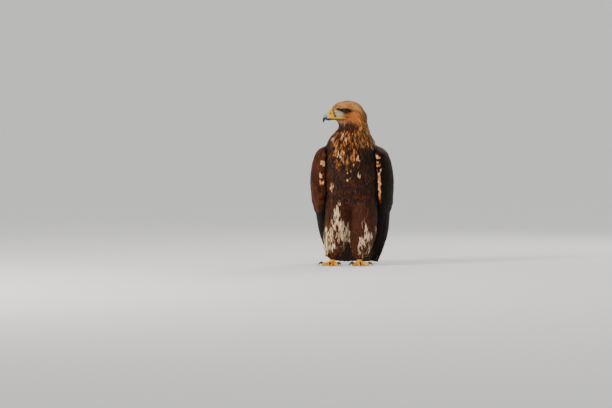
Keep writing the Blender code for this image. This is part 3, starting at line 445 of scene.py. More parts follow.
def named_nodes(tree, *kinds):
    """Adds shader nodes to a tree and returns them in the order asked for."""
    return [tree.nodes.new("ShaderNode" + kind) for kind in kinds]


def set_inputs(node, values):
    for name, value in values.items():
        node.inputs[name].default_value = value


def paint(data, name, values, domain="POINT"):
    """Keeps a colour for each point of a mesh as an attribute."""
    layer = data.attributes.new(name, "FLOAT_COLOR", domain)
    rgba = np.ones((len(values), 4), np.float32)
    rgba[:, :3] = values
    layer.data.foreach_set("color", rgba.ravel())


def down_material():
    """Matt under-plumage that shows only in the gaps between feathers."""
    made, tree, shader = new_material("under_plumage")
    colour, coords, grain, mix, bump = named_nodes(tree, "Attribute", "TexCoord", "TexNoise", "Mix", "Bump")
    link = tree.links.new
    colour.attribute_name = "Plumage"
    mix.data_type = "RGBA"
    mix.blend_type = "MULTIPLY"
    set_inputs(mix, {"Factor": 0.6})
    set_inputs(grain, {"Scale": 420, "Detail": 3})
    set_inputs(bump, {"Strength": 0.5, "Distance": 0.001})
    set_inputs(shader, {"Roughness": 0.9})
    link(coords.outputs["Object"], grain.inputs["Vector"])
    link(colour.outputs["Color"], mix.inputs["A"])
    link(grain.outputs["Color"], mix.inputs["B"])
    link(mix.outputs["Result"], shader.inputs["Base Color"])
    link(grain.outputs["Fac"], bump.inputs["Height"])
    link(bump.outputs["Normal"], shader.inputs["Normal"])
    return made


def skin_unwrap(points):
    """The skin's own unwrap, round the neck's axis, in the left part of the map."""
    x, y, z = points.T
    round_trunk = np.arctan2(y - AXIS_Y, x) / (2 * math.pi) % 1
    u = 0.01 + 0.60 * round_trunk
    v = 0.01 + 0.97 * np.clip(z / 0.70, 0, 1)
    return np.stack([u, v], 1)


skin_count = len(skin.data.vertices)
skin_points = np.empty(skin_count * 3)
skin.data.vertices.foreach_get("co", skin_points)
skin_points = skin_points.reshape(-1, 3)
skin_middle, skin_rim = plumage_at(skin_points, np.full(skin_count, 0.5))
# The under-plumage takes the feathers' colours at 0.55 of their brightness, a painted shade for the gaps
# between feathers
paint(skin.data, "Plumage", 0.55 * (skin_middle + skin_rim) / 2)
skin.data.materials.clear()
skin.data.materials.append(down_material())
skin_map = skin.data.uv_layers.new(name="OFBake")
corner_points = np.empty(len(skin.data.loops), np.int32)
skin.data.loops.foreach_get("vertex_index", corner_points)
skin_map.data.foreach_set("uv", skin_unwrap(skin_points)[corner_points].astype(np.float32).ravel())


# Body feathers
# Each contour feather is a thin closed vane: a raised shaft, two webs and a rounded or pointed tip.
# They are rooted in the skin in scattered rows, lie along the flow of the coat, and lap over the next.

BODY_OUTLINE = ((0.0, 0.36), (0.30, 0.88), (0.62, 1.0), (0.86, 0.72), (1.0, 0.0))
POINTED_OUTLINE = ((0.0, 0.40), (0.26, 0.90), (0.52, 0.88), (0.80, 0.46), (1.0, 0.0))
BAKE_PATCH = 0.003
SAMPLE_COUNT = 220000
SAMPLE_SEED = 3
COAT_SEED = 100
SCATTER_SEED = 200


def feather_pattern(outline, columns=3):
    """One feather as arrays: share along, across and side of the vane for each point, its faces and rims."""
    row = [(2 * c / (columns - 1) - 1, 1) for c in range(columns)] + [(0.0, -1)]
    points = [(share, place, face, width) for share, width in outline[:-1] for place, face in row]
    rows = range(0, len(points), len(row))
    tip = len(points)
    along, across, side, half = np.array(points + [(1.0, 0.0, 0, 0.0)]).T
    faces = []
    for a, b in zip(rows, rows[1:]):
        for c in range(columns - 1):
            faces.append((a + c, b + c, b + c + 1, a + c + 1))
        faces.append((a + columns - 1, b + columns - 1, b + columns, a + columns))
        faces.append((a + columns, b + columns, b, a))
    last = rows[-1]
    for c in range(columns - 1):
        faces.append((last + c, tip, last + c + 1))
    faces.append((last + columns - 1, tip, last + columns))
    faces.append((last + columns, tip, last))
    faces.append(tuple(range(columns)) + (columns,))
    rim = (np.abs(across) > 0.99) | (side == 0)
    return {"along": along, "across": across, "side": side, "half": half, "faces": faces, "rim": rim}


def join_feathers(name, pattern, places, middle, rim, marks, roots_uv, slot, material, *nodes):
    """One mesh of many feathers. places is (feathers, points, 3) in metres."""
    count, size = places.shape[:2]
    data = bpy.data.meshes.new(name)
    data.vertices.add(count * size)
    data.vertices.foreach_set("co", places.astype(np.float32).ravel())
    corners = np.concatenate([np.array(f) for f in pattern["faces"]])
    totals = np.array([len(f) for f in pattern["faces"]])
    loops = (corners[None, :] + size * np.arange(count)[:, None]).ravel()
    all_totals = np.tile(totals, count)
    data.loops.add(len(loops))
    data.loops.foreach_set("vertex_index", loops.astype(np.int32))
    data.polygons.add(len(all_totals))
    starts = np.concatenate([[0], np.cumsum(all_totals)[:-1]])
    data.polygons.foreach_set("loop_start", starts.astype(np.int32))
    data.update(calc_edges=True)
    data.polygons.foreach_set("use_smooth", np.ones(len(all_totals), bool))
    ends = np.empty(len(data.edges) * 2, np.int32)
    data.edges.foreach_get("vertices", ends)
    sharp = pattern["rim"][ends.reshape(-1, 2) % size].all(1)
    data.attributes.new("sharp_edge", "BOOLEAN", "EDGE").data.foreach_set("value", sharp)
    paint(data, "Middle", np.repeat(middle, size, 0))
    paint(data, "Rim", np.repeat(rim, size, 0))
    paint(data, "Marks", np.repeat(marks, size, 0))
    vane_uv = np.stack([pattern["across"] * 0.5 + 0.5, pattern["along"]], 1)
    data.uv_layers.new(name="Vane").data.foreach_set("uv", vane_uv[loops % size].astype(np.float32).ravel())
    patch = (vane_uv - 0.5) * BAKE_PATCH
    bake = roots_uv[:, None, :] + patch[None]
    bake = bake.reshape(-1, 2)[loops].astype(np.float32)
    data.uv_layers.new(name="OFBake").data.foreach_set("uv", bake.ravel())
    data.materials.append(material)
    return shown(name, data, slot, *nodes)


BAR_TURNS = 52.0


def plumage_material(name, roughness, barbs=46.0, soft=0.5, sheen=0.04, gloss=0.14):
    """A feather's web: its middle fades to its rim, a pale or dark shaft, fine barbs that slant from it."""
    made, tree, shader = new_material(name)
    link = tree.links.new

    def maths(operation, *values):
        added = tree.nodes.new("ShaderNodeMath")
        added.operation = operation
        for socket, value in zip(added.inputs, values):
            if isinstance(value, (int, float)):
                socket.default_value = value
            else:
                link(value, socket)
        return added.outputs[0]

    uv, parts, marks, mark_parts, middle, rim, coords, cloud = named_nodes(
        tree, "UVMap", "SeparateXYZ", "Attribute", "SeparateXYZ", "Attribute", "Attribute", "TexCoord",
        "TexNoise",
    )
    edge, web, shade, bump = named_nodes(tree, "MapRange", "Mix", "VectorMath", "Bump")
    uv.uv_map = "Vane"
    marks.attribute_name, middle.attribute_name, rim.attribute_name = "Marks", "Middle", "Rim"
    edge.interpolation_type = "SMOOTHSTEP"
    web.data_type = "RGBA"
    shade.operation = "SCALE"
    set_inputs(cloud, {"Scale": 260, "Detail": 4})
    set_inputs(bump, {"Strength": 0.35, "Distance": 0.0004})
    set_inputs(shader, {"Roughness": roughness, "Specular IOR Level": gloss, "Sheen Weight": sheen})
    link(uv.outputs["UV"], parts.inputs[0])
    link(marks.outputs["Vector"], mark_parts.inputs[0])
    link(coords.outputs["Object"], cloud.inputs["Vector"])
    off_shaft = maths("ABSOLUTE", maths("MULTIPLY_ADD", parts.outputs["X"], 2.0, -1.0))
    along = parts.outputs["Y"]
    cloudy = cloud.outputs["Fac"]

    # The rim takes over towards the sides and the tip, by how wide each feather's middle is
    sides = maths("POWER", off_shaft, 1.6)
    tip = maths("POWER", along, 5.0)
    reach = maths("MAXIMUM", sides, tip)
    shaken = maths("MULTIPLY_ADD", cloudy, 0.5, maths("SUBTRACT", reach, 0.25))
    link(shaken, edge.inputs["Value"])
    link(mark_parts.outputs["X"], edge.inputs["From Min"])
    link(maths("ADD", mark_parts.outputs["X"], soft), edge.inputs["From Max"])
    link(edge.outputs["Result"], web.inputs["Factor"])
    link(middle.outputs["Color"], web.inputs["A"])
    link(rim.outputs["Color"], web.inputs["B"])

    # Barbs slant from the shaft towards the tip
    slant = maths("MULTIPLY_ADD", off_shaft, -0.35, along)
    wobble = maths("MULTIPLY_ADD", cloudy, 0.08, slant)
    barb = maths("SINE", maths("MULTIPLY", wobble, barbs * 2 * math.pi))
    light = maths("MULTIPLY_ADD", barb, 0.07, 0.93)
    tone = maths("MULTIPLY", light, maths("MULTIPLY_ADD", cloudy, 0.7, 0.65))
    shaft = maths("LESS_THAN", off_shaft, 0.05)
    dimmed = maths("MULTIPLY", tone, maths("MULTIPLY_ADD", shaft, -0.35, 1.0))
    # Faint ashy bars, only where a feather's marks ask for them
    barred = maths("SINE", maths("MULTIPLY_ADD", slant, BAR_TURNS, maths("MULTIPLY", cloudy, 4.0)))
    ashy = maths("MULTIPLY_ADD", maths("MAXIMUM", barred, 0.0), mark_parts.outputs["Z"], 1.0)
    link(web.outputs["Result"], shade.inputs[0])
    link(maths("MULTIPLY", dimmed, ashy), shade.inputs["Scale"])
    link(shade.outputs[0], shader.inputs["Base Color"])
    link(barb, bump.inputs["Height"])
    link(bump.outputs["Normal"], shader.inputs["Normal"])
    return made


WINGS = [FLESH.index(n) for n in ("wing_l", "wing_r")]
LEGS = [FLESH.index(n) for n in ("thigh_l", "thigh_r", "shank_l", "shank_r")]


def flow_at(points, homes):
    """The lie of the coat at points: back from the bill over the head, then down and back."""
    ahead = head_places(points)[0]
    z = points[:, 2] / MM
    down = np.tile([0.0, 0.04, -1.0], (len(points), 1))
    wing = np.isin(homes, WINGS)
    down[:, 1] += np.where(wing, 0.08 + 0.75 * ramp(z, 430, 240), 0.0)
    behind_body = (~wing) & (points[:, 1] > 0.0)
    down[:, 1] += np.where(behind_body, 0.25 + 0.45 * ramp(z, 330, 220), 0.0)
    from_bill = points - in_head(92, 0, -6)
    from_bill /= np.linalg.norm(from_bill, axis=1)[:, None]
    head = ramp(z, 575, 640)
    nape = ramp(-ahead, -12, 42)
    flow = down * (1 - head)[:, None] + from_bill * head[:, None]
    flow[:, 2] -= head * (0.12 + 1.7 * nape)
    return flow / np.linalg.norm(flow, axis=1)[:, None]


def scatter(candidates, spacing, seed):
    """The candidates that stay when none may lie nearer than the spacing to one already kept."""
    order = np.random.default_rng(seed).permutation(len(candidates))
    kept, cells = [], {}
    shifts = [(i, j, k) for i in (-1, 0, 1) for j in (-1, 0, 1) for k in (-1, 0, 1)]
    keys = np.floor(candidates / spacing).astype(int)
    for index in order:
        cell = tuple(keys[index])
        point = candidates[index]
        near = False
        for shift in shifts:
            for other in cells.get((cell[0] + shift[0], cell[1] + shift[1], cell[2] + shift[2]), ()):
                if ((point - candidates[other]) ** 2).sum() < spacing * spacing:
                    near = True
                    break
            if near:
                break
        if not near:
            cells.setdefault(cell, []).append(index)
            kept.append(index)
    return np.array(kept)


def skin_samples(amount, seed):
    """Evenly drawn points on the skin with their normals and the flesh node each belongs to."""
    draw = np.random.default_rng(seed)
    data = skin.data
    data.calc_loop_triangles()
    corners = np.empty(len(data.loop_triangles) * 3, np.int32)
    data.loop_triangles.foreach_get("vertices", corners)
    tri = skin_points[corners.reshape(-1, 3)]
    cross = np.cross(tri[:, 1] - tri[:, 0], tri[:, 2] - tri[:, 0])
    area = np.linalg.norm(cross, axis=1)
    pick = draw.choice(len(area), amount, p=area / area.sum())
    a, b = draw.random((2, amount, 1))
    fold = (a + b) > 1
    a, b = np.where(fold, 1 - a, a), np.where(fold, 1 - b, b)
    points = tri[pick, 0] + a * (tri[pick, 1] - tri[pick, 0]) + b * (tri[pick, 2] - tri[pick, 0])
    normals = cross[pick] / area[pick][:, None]
    homes = np.array([flesh_home[flesh_tree.find_nearest(Vector(p))[2]] for p in points])
    return points, normals, homes


YAW = 6.0
ROLL = 9.0
THICK = 0.35
CUP = 0.10


def lay_on_skin(pattern, roots, normals, flows, lengths, widths, lifts, draw, conform):
    """Bends feathers over the skin: each follows it from its root, rising from one lift to the other."""
    count = len(roots)
    shares = np.unique(pattern["along"])
    side = np.cross(normals, flows)
    side /= np.linalg.norm(side, axis=1)[:, None]
    flows = np.cross(side, normals)
    yaw = np.radians(draw.normal(0, YAW, count))[:, None]
    flows = flows * np.cos(yaw) + side * np.sin(yaw)
    middles = np.empty((count, len(shares), 3))
    ups = np.empty((count, len(shares), 3))
    for k, share in enumerate(shares):
        flat = roots + flows * (lengths * share)[:, None]
        rise = (lifts[:, 0] + (lifts[:, 1] - lifts[:, 0]) * share)[:, None]
        near = [skin_tree.find_nearest(Vector(p)) for p in flat]
        on_skin = np.array([n[0] for n in near])
        skin_up = np.array([n[1] for n in near])
        hug = conform if share > 0 else 1.0
        middles[:, k] = (flat + normals * rise) * (1 - hug) + (on_skin + skin_up * rise) * hug
        ups[:, k] = normals * (1 - hug) + skin_up * hug
    ups = 0.5 * (ups + ups.mean(axis=1, keepdims=True))
    tangent = np.gradient(middles, axis=1)
    across = np.cross(ups, tangent)
    across /= np.linalg.norm(across, axis=2)[:, :, None] + 1e-12
    lean = np.radians(draw.normal(0, ROLL, count))[:, None, None]
    up = np.cross(tangent, across)
    up /= np.linalg.norm(up, axis=2)[:, :, None] + 1e-12
    across, up = across * np.cos(lean) + up * np.sin(lean), up * np.cos(lean) - across * np.sin(lean)
    row = np.searchsorted(shares, pattern["along"])
    t = pattern["across"] * pattern["half"]
    cup = np.where(pattern["side"] > 0, -CUP * t * t, 0.0)
    height = np.where(np.abs(pattern["across"]) < 0.01, 0.5 * pattern["side"], 0.0) * THICK * MM
    return (
        middles[:, row]
        + across[:, row] * (t[None, :] * widths[:, None] / 2)[:, :, None]
        + up[:, row] * (cup[None, :] * widths[:, None] + height[None, :])[:, :, None]
    )


samples, sample_normals, sample_homes = skin_samples(SAMPLE_COUNT, SAMPLE_SEED)
sample_ahead, sample_out, sample_up = head_places(samples)
sample_z = samples[:, 2] / MM
on_wing = np.isin(sample_homes, WINGS)
on_thigh = np.isin(sample_homes, LEGS)
in_trunk = ~(on_wing | on_thigh)
web_soft = plumage_material("contour_feather", 0.62)

# Heights where the coats begin and end, and how far ahead of the neck's middle the crown does
LEG_FOOT = 28
RUMP_FOOT = 226
BEND_FOOT = 300
NECK_FOOT = 506
MANTLE_FOOT = 524
MANTLE_TOP = 545
CHIN_FOOT = 586
NECK_TOP = 606
NAPE_TOP = 664
CROWN_START = 4

body_pattern = feather_pattern(BODY_OUTLINE)
pointed_pattern = feather_pattern(POINTED_OUTLINE)
sample_behind = np.degrees(np.arctan2(np.abs(sample_out), -(sample_ahead + 6)))
off_eye = ((sample_ahead - EYE_AHEAD - 3) / 14.5) ** 2 + ((sample_up - EYE_UP) / 8.5) ** 2 > 1
off_eye |= np.abs(sample_out) < 20
on_bill = (sample_ahead > 84) & (sample_up > -34) & (sample_up < 18)
on_chin = in_trunk & (sample_z > CHIN_FOOT) & (sample_ahead > 0)
on_face = ((in_trunk & (sample_z > NECK_TOP)) | on_chin) & off_eye & ~on_bill
on_lores = on_face & (sample_ahead > 40) & (sample_up > -17) & (sample_up < 13) & (np.abs(sample_out) > 9)
on_rump_end = (sample_z < RUMP_FOOT) & (samples[:, 1] > 0.02)
on_belly = in_trunk & (sample_z <= NECK_FOOT) & (samples[:, 1] < AXIS_Y + 0.06)

on_crown = on_face & (sample_ahead <= CROWN_START)
on_cheeks = on_face & (sample_ahead > CROWN_START) & ~on_lores
on_neck = in_trunk & (sample_z > NECK_FOOT) & (sample_z <= NECK_TOP) & ~on_chin
on_nape = in_trunk & (sample_z > MANTLE_TOP) & (sample_z < NAPE_TOP) & (sample_behind < 70)
on_mantle = in_trunk & (sample_z > MANTLE_FOOT) & (sample_z <= MANTLE_TOP) & (sample_behind < 72)
on_back = in_trunk & (sample_z <= NECK_FOOT) & ~on_belly & ~on_rump_end
on_legs = on_thigh & (sample_z > LEG_FOOT)
on_bend = on_wing & (sample_z > BEND_FOOT)

# Each coat: name, where it grows, spacing, length, width, lift at root and tip, outline, slot
COATS = (
    ("lore_feathers", on_lores, 1.7, 7.5, 1.6, (0.0, 1.2), pointed_pattern, "plumage_gold"),
    ("face_feathers", on_cheeks, 2.1, 8.0, 2.7, (0.0, 1.4), pointed_pattern, "plumage_gold"),
    ("crown_feathers", on_crown, 2.8, 15, 4.0, (0.0, 2.4), pointed_pattern, "plumage_gold"),
    ("neck_feathers", on_neck, 4.0, 26, 5.8, (-0.5, 4.5), pointed_pattern, "plumage_gold"),
    ("nape_hackles", on_nape, 5.8, 36, 6.6, (-0.5, 6.5), pointed_pattern, "plumage_gold"),
    ("mantle_hackles", on_mantle, 7.0, 36, 8.2, (-0.5, 6.5), pointed_pattern, "plumage_gold"),
    ("breast_feathers", on_belly, 5.5, 37, 9.4, (-0.5, 5.0), body_pattern, "plumage_brown"),
    ("back_feathers", on_back, 9.5, 46, 21, (-0.5, 5.5), body_pattern, "plumage_brown"),
    ("leg_feathers", on_legs, 5.0, 40, 7.0, (-0.5, 5.5), pointed_pattern, "leg_feather"),
    ("wing_bend_feathers", on_bend, 7.6, 26, 13.5, (-0.5, 3.4), body_pattern, "plumage_brown"),
)
for number, (name, where, spacing, length, width, lift, pattern, slot) in enumerate(COATS):
    draw = np.random.default_rng(COAT_SEED + number)
    chosen = np.nonzero(where)[0]
    chosen = chosen[scatter(samples[chosen], spacing * MM, SCATTER_SEED + number)]
    roots, normals, homes = samples[chosen], sample_normals[chosen], sample_homes[chosen]
    count = len(chosen)
    size = draw.normal(1.0, 0.12, count).clip(0.7, 1.35)
    foot = ramp(roots[:, 2] / MM, 20, 75)
    lengths = length * size * (0.6 + 0.4 * foot) * MM
    lifts = np.outer(draw.normal(1.0, 0.22, count).clip(0.5, 1.7), lift) * MM
    hug = 1.0 if "hackles" not in name else 0.75
    flows = flow_at(roots, homes)
    places = lay_on_skin(pattern, roots, normals, flows, lengths, width * size * MM, lifts, draw, hug)
    places[..., 2] = np.maximum(places[..., 2], 0.0004)
    chance = draw.random(count)
    middle, rim = plumage_at(roots, chance)
    if "hackles" in name:
        bright = ramp(chance, 0.38, 0.5)
        low = ramp(roots[:, 2] / MM, 650, 615) * 0.9
        gold = blend(GOLD, TAWNY * 1.1, ramp(draw.random(count), 0.2, 0.9))
        middle = blend(middle, blend(UMBER * 0.8, gold, bright), low)
        rim = blend(rim, blend(RUFOUS * 0.45, TAWNY * 0.8, bright), low)
    marks = np.stack([draw.uniform(0.25, 0.55, count), draw.random(count), np.zeros(count)], 1)
    join_feathers(name, pattern, places, middle, rim, marks, skin_unwrap(roots), slot, web_soft)


# Wings
# The folded wings hang half open: small coverts at the bend, then rows of longer ones, each row over the
# next, the secondaries under them and the primaries below. Every feather lies on one curved sheet.

LONG_OUTLINE = (
    (0.0, 0.30), (0.12, 0.62), (0.3, 0.86), (0.5, 0.97), (0.7, 1.0), (0.85, 0.86), (0.94, 0.56), (1.0, 0.0),
)
COVERT_OUTLINE = (
    (0.0, 0.34), (0.22, 0.78), (0.45, 0.97), (0.68, 1.0), (0.85, 0.80), (0.95, 0.46), (1.0, 0.0),
)
PRIMARY_OUTLINE = (
    (0.0, 0.40), (0.12, 0.72), (0.28, 0.92), (0.45, 1.0), (0.6, 0.94), (0.75, 0.74), (0.88, 0.54),
    (0.96, 0.34), (1.0, 0.0),
)


def lay_on_sheet(sheet, pattern, roots, tips, widths, lifts, rolls, outward, thick=0.5, cup=0.06):
    """Bends feathers over a sheet(u, v) from their roots to their tips, both given as (u, v)."""
    count, size = len(roots), len(pattern["along"])
    share = pattern["along"][None, :]
    lie_u = (tips[:, 0] - roots[:, 0])[:, None]
    lie_v = (tips[:, 1] - roots[:, 1])[:, None]
    u = roots[:, :1] + lie_u * share
    v = roots[:, 1:] + lie_v * share
    flat_u, flat_v = u.ravel(), v.ravel()
    du = (sheet(flat_u + 1, flat_v) - sheet(flat_u - 1, flat_v)) / 2
    dv = (sheet(flat_u, flat_v + 0.002) - sheet(flat_u, flat_v - 0.002)) / 0.004
    along_u = np.broadcast_to(lie_u, u.shape).ravel()[:, None]
    along_v = np.broadcast_to(lie_v, v.shape).ravel()[:, None]
    lie = du * along_u + dv * along_v
    lie /= np.linalg.norm(lie, axis=1)[:, None]
    up = np.cross(du, dv) * outward
    up /= np.linalg.norm(up, axis=1)[:, None]
    side = np.cross(up, lie)
    uu, uv, vv = (du * du).sum(1), (du * dv).sum(1), (dv * dv).sum(1)
    det = np.maximum(uu * vv - uv * uv, 1e-16)
    su, sv = (side * du).sum(1), (side * dv).sum(1)
    offset = ((pattern["across"] * pattern["half"])[None, :] * widths[:, None] / 2 * MM).ravel()
    point = sheet(flat_u + (su * vv - sv * uv) / det * offset, flat_v + (sv * uu - su * uv) / det * offset)
    rise = lifts[:, :1] + (lifts[:, 1:] - lifts[:, :1]) * np.minimum(1, share / 0.6)
    edge = (pattern["across"] * pattern["half"])[None, :]
    ridge = np.where(np.abs(pattern["across"]) < 0.01, 0.5 * thick * pattern["side"], 0.0)[None, :]
    web = np.where(pattern["side"] > 0, -cup, 0.0)[None, :] * edge**2 * widths[:, None] / 2
    height = (rise + rolls[:, None] * edge + ridge + web) * MM
    return (point + up * height.reshape(-1, 1)).reshape(count, size, 3)


covert_pattern = feather_pattern(COVERT_OUTLINE, 5)
long_pattern = feather_pattern(LONG_OUTLINE, 7)
primary_pattern = feather_pattern(PRIMARY_OUTLINE, 7)
web_wing = plumage_material("wing_covert", 0.6, barbs=110.0, soft=0.6, sheen=0.0, gloss=0.08)
web_flight = plumage_material("flight_web", 0.55, barbs=290.0, soft=0.5, sheen=0.0, gloss=0.05)

# Each row of coverts: how many, heights and places across of the first and last root and tip, width, lift
COVERT_ROWS = (
    (16, (318, 0.04), (314, 0.98), (222, 0.06), (240, 0.99), 38, (-4.0, -1.6)),
    (18, (338, 0.03), (336, 0.97), (256, 0.05), (274, 0.99), 33, (-3.0, 1.4)),
    (18, (358, 0.03), (358, 0.96), (282, 0.04), (298, 0.98), 30, (-2.5, 2.4)),
    (17, (378, 0.03), (378, 0.95), (308, 0.03), (322, 0.96), 28, (-2.0, 2.8)),
    (17, (397, 0.02), (400, 0.93), (334, 0.03), (346, 0.95), 26, (-2.0, 3.2)),
    (17, (416, 0.02), (420, 0.92), (358, 0.03), (370, 0.94), 24, (-2.0, 3.2)),
    (16, (434, 0.02), (440, 0.90), (380, 0.03), (392, 0.92), 23, (-2.0, 3.2)),
    (16, (450, 0.03), (458, 0.88), (402, 0.03), (412, 0.90), 22, (-1.5, 3.2)),
    (15, (465, 0.04), (475, 0.87), (420, 0.03), (432, 0.89), 21, (-1.5, 3.2)),
    (14, (479, 0.05), (489, 0.85), (438, 0.05), (452, 0.87), 20, (-1.5, 3.0)),
    (13, (491, 0.08), (500, 0.84), (454, 0.07), (468, 0.86), 19, (-1.5, 3.0)),
    (11, (501, 0.12), (509, 0.82), (468, 0.10), (484, 0.84), 18, (-1.5, 2.6)),
)
# The rim of the folded wing beside the breast, where short pale-tipped feathers run down its edge; on the
# left wing that pale edge is partly a painted highlight
EDGE_ROWS = (
    (24, (486, 0.06), (300, 0.035), (462, 0.045), (268, 0.02), 11, (0.0, 4.0)),
    (26, (478, 0.02), (292, 0.008), (456, 0.012), (264, 0.008), 10, (0.0, 4.6)),
)
SCAPULAR_ROWS = (
    (4, (420, 0.74), (424, 0.98), (318, 0.80), (300, 0.99), 40, (-2.0, 6.5)),
    (5, (456, 0.66), (460, 0.98), (372, 0.72), (352, 0.99), 38, (-2.0, 7.0)),
    (5, (486, 0.62), (490, 0.97), (418, 0.68), (402, 0.98), 34, (-2.0, 7.0)),
    (5, (506, 0.60), (508, 0.95), (452, 0.64), (442, 0.96), 30, (-2.0, 6.0)),
)
SECONDARY_ROWS = (
    (15, (280, 0.24), (276, 0.93), (96, 0.34), (104, 0.94), 36, (-10.0, -2.5)),
    (6, (306, 0.74), (304, 0.97), (144, 0.78), (160, 0.97), 38, (-8.0, 3.5)),
)
PRIMARY_ROWS = ((13, (268, 0.0), (268, 0.50), (44, 0.0), (88, 0.90), 38, (-11.0, -6.0)),)
PRIMARY_REACH = 64.0
LOWEST_TIP = 3.0
EDGE_CREAM = np.array([0.78, 0.47, 0.21])
# Heights of the left wing's pale front edge, partly real pale feathers and partly a painted highlight, and of
# the right wing's pale spots
CREAM_AND_LIT_EDGE_LEFT = (258, 466)
CREAM_SPOTS_RIGHT = (342, 374, 414, 428)
WING_TOP = 520
WING_SEED = 40


def wing_row(row, mirror, draw, pattern, jitter, stack, reach, offset):
    """One row of a wing: its feathers' places, and their roots and tips on the wing's face."""
    count, root_a, root_b, tip_a, tip_b, width, lift = row
    share = np.clip((np.arange(count) + offset) / (count - 1), 0, 1)
    roots = np.array(root_a) + (np.array(root_b) - np.array(root_a)) * share[:, None]
    tips = np.array(tip_a) + (np.array(tip_b) - np.array(tip_a)) * share[:, None]
    tips[:, 0] += draw.normal(0, jitter, count) - reach * np.sin(math.pi * share) ** 1.3
    tips[:, 1] += draw.normal(0, 0.0025, count) * jitter
    tips[:, 0] = np.maximum(tips[:, 0], LOWEST_TIP)
    widths = width * draw.normal(1, 0.08, count)
    lifts = np.tile(np.array(lift, float), (count, 1)) + stack * np.arange(count)[:, None]
    lifts[:, 1] += draw.normal(0, 0.35, count)
    rolls = mirror * draw.normal(0.9, 0.3, count)

    def sheet(u, v):
        return wing_point(u, v, mirror)

    places = lay_on_sheet(sheet, pattern, roots, tips, widths, lifts, rolls, -mirror)
    return places, roots, tips


def wing_unwrap(points_u, points_v):
    """The wing's own unwrap, in the right part of the map."""
    across = 0.64 + 0.34 * np.clip(points_v, 0, 1)
    return np.stack([across, 0.01 + 0.97 * np.clip(points_u / WING_TOP, 0, 1)], 1)


# Each kind of feather on a wing: name, rows, outline, web, slot, how far its tips stray, how much each
# feather lies over the next, how much farther the middle ones reach, and the quills that it stands for
WING_KINDS = (
    ("coverts", COVERT_ROWS, covert_pattern, web_wing, "plumage_brown", 5.0, 0.12, 0.0, ()),
    ("edge_coverts", EDGE_ROWS, covert_pattern, web_wing, "plumage_brown", 4.0, 0.02, 0.0, ()),
    ("scapulars", SCAPULAR_ROWS, covert_pattern, web_wing, "plumage_brown", 5.0, 0.2, 0.0, ()),
    ("secondary_quills", SECONDARY_ROWS, long_pattern, web_flight, "flight_feather", 2.5, 0.3, 0.0,
     ("secondaries",)),
    ("primary_quills", PRIMARY_ROWS, primary_pattern, web_flight, "flight_feather", 2.0, 0.5, PRIMARY_REACH,
     ("primaries",)),
)
for side_name, mirror in (("l", 1), ("r", -1)):
    draw = np.random.default_rng(WING_SEED + mirror)
    for kind, rows, pattern, material, slot, jitter, stack, reach, quills in WING_KINDS:
        laid = [
            wing_row(row, mirror, draw, pattern, jitter, stack, reach, 0.5 * (number % 2))
            for number, row in enumerate(rows)
        ]
        places, roots, tips = (np.concatenate(part) for part in zip(*laid))
        count = len(places)
        chance = draw.random(count)
        bars = np.zeros(count)
        if slot == "flight_feather":
            middle = BLACKISH * 0.6 * (0.7 + 0.6 * chance[:, None])
            rim = UMBER * 0.7 * (0.6 + 0.8 * chance[:, None])
            bars += 0.25
        else:
            # The right wing is drawn redder and the left one blackish, a painted light on the lit side and
            # painted shade on the other; on the left only the shoulder is red. Both backs are scaled.
            shoulder = ramp(tips[:, 0], 440, 475)
            scaled = ramp(roots[:, 1], 0.35, 0.6)
            warmth_and_side_light = np.maximum((0.8 if mirror < 0 else 0.1) * (1 - 0.5 * scaled), shoulder * 0.8)
            warmth_and_side_light = np.maximum(warmth_and_side_light, scaled * 0.45)
            middle = blend(BLACKISH * 0.7, UMBER * 1.8, chance * warmth_and_side_light)
            front = 1 - ramp(roots[:, 1], 0.1, 0.6)
            # Only the right wing's front is reddened: painted light on the lit side, with the shoulder's own
            # red on both
            redness_and_side_light = (0.42 if mirror < 0 else 0.0) * (0.35 + 0.65 * chance) * front
            redness_and_side_light = redness_and_side_light + 0.8 * shoulder * chance
            middle = blend(middle, RUFOUS * 0.5, np.clip(redness_and_side_light, 0, 1))
            rim = blend(UMBER * 0.5, RUFOUS * 0.9, warmth_and_side_light * ramp(chance, 0.1, 0.9))
            if kind == "edge_coverts":
                height = tips[:, 0]
                inner = roots[:, 1] < 0.03
                if mirror > 0:
                    # Pale tips down the left wing's front edge: partly its pale feathers, partly a painted
                    # highlight where that edge of the shaded wing catches the light
                    low, high = CREAM_AND_LIT_EDGE_LEFT
                    pale = ramp(height, low, low + 30) * ramp(height, high + 8, high)
                    few, most = ramp(chance, 0.45, 0.6), inner * ramp(chance, 0.0, 0.25)
                    pale = pale * np.where(height > 385, few, most)
                else:
                    pale = np.exp(-(((height[:, None] - CREAM_SPOTS_RIGHT) / 8) ** 2)).max(1)
                    pale = ramp(pale * (0.6 + 0.6 * chance), 0.4, 0.7) * np.where(height > 400, 0.7, 1.0)
                ends = blend(EDGE_CREAM, TAWNY * 1.2, ramp(draw.random(count), 0.3, 1.0))
                rim = blend(rim, RUFOUS, pale)
                middle = blend(middle, ends, pale)
        marks = np.stack([draw.uniform(0.4, 0.75, count), draw.random(count), bars], 1)
        nodes = ["wing_%s_%s" % (side_name, quill) for quill in quills]
        join_feathers(
            "wing_%s_%s" % (side_name, kind), pattern, places, middle, rim, marks,
            wing_unwrap(roots[:, 0], roots[:, 1]), slot, material, *nodes,
        )


# Tail
# Twelve long, broad feathers in a narrow fan, the middle pair on top, dark with faint ashy bars.
# Their roots lie between the coverts of the rump and of the vent; the tips just reach the floor.

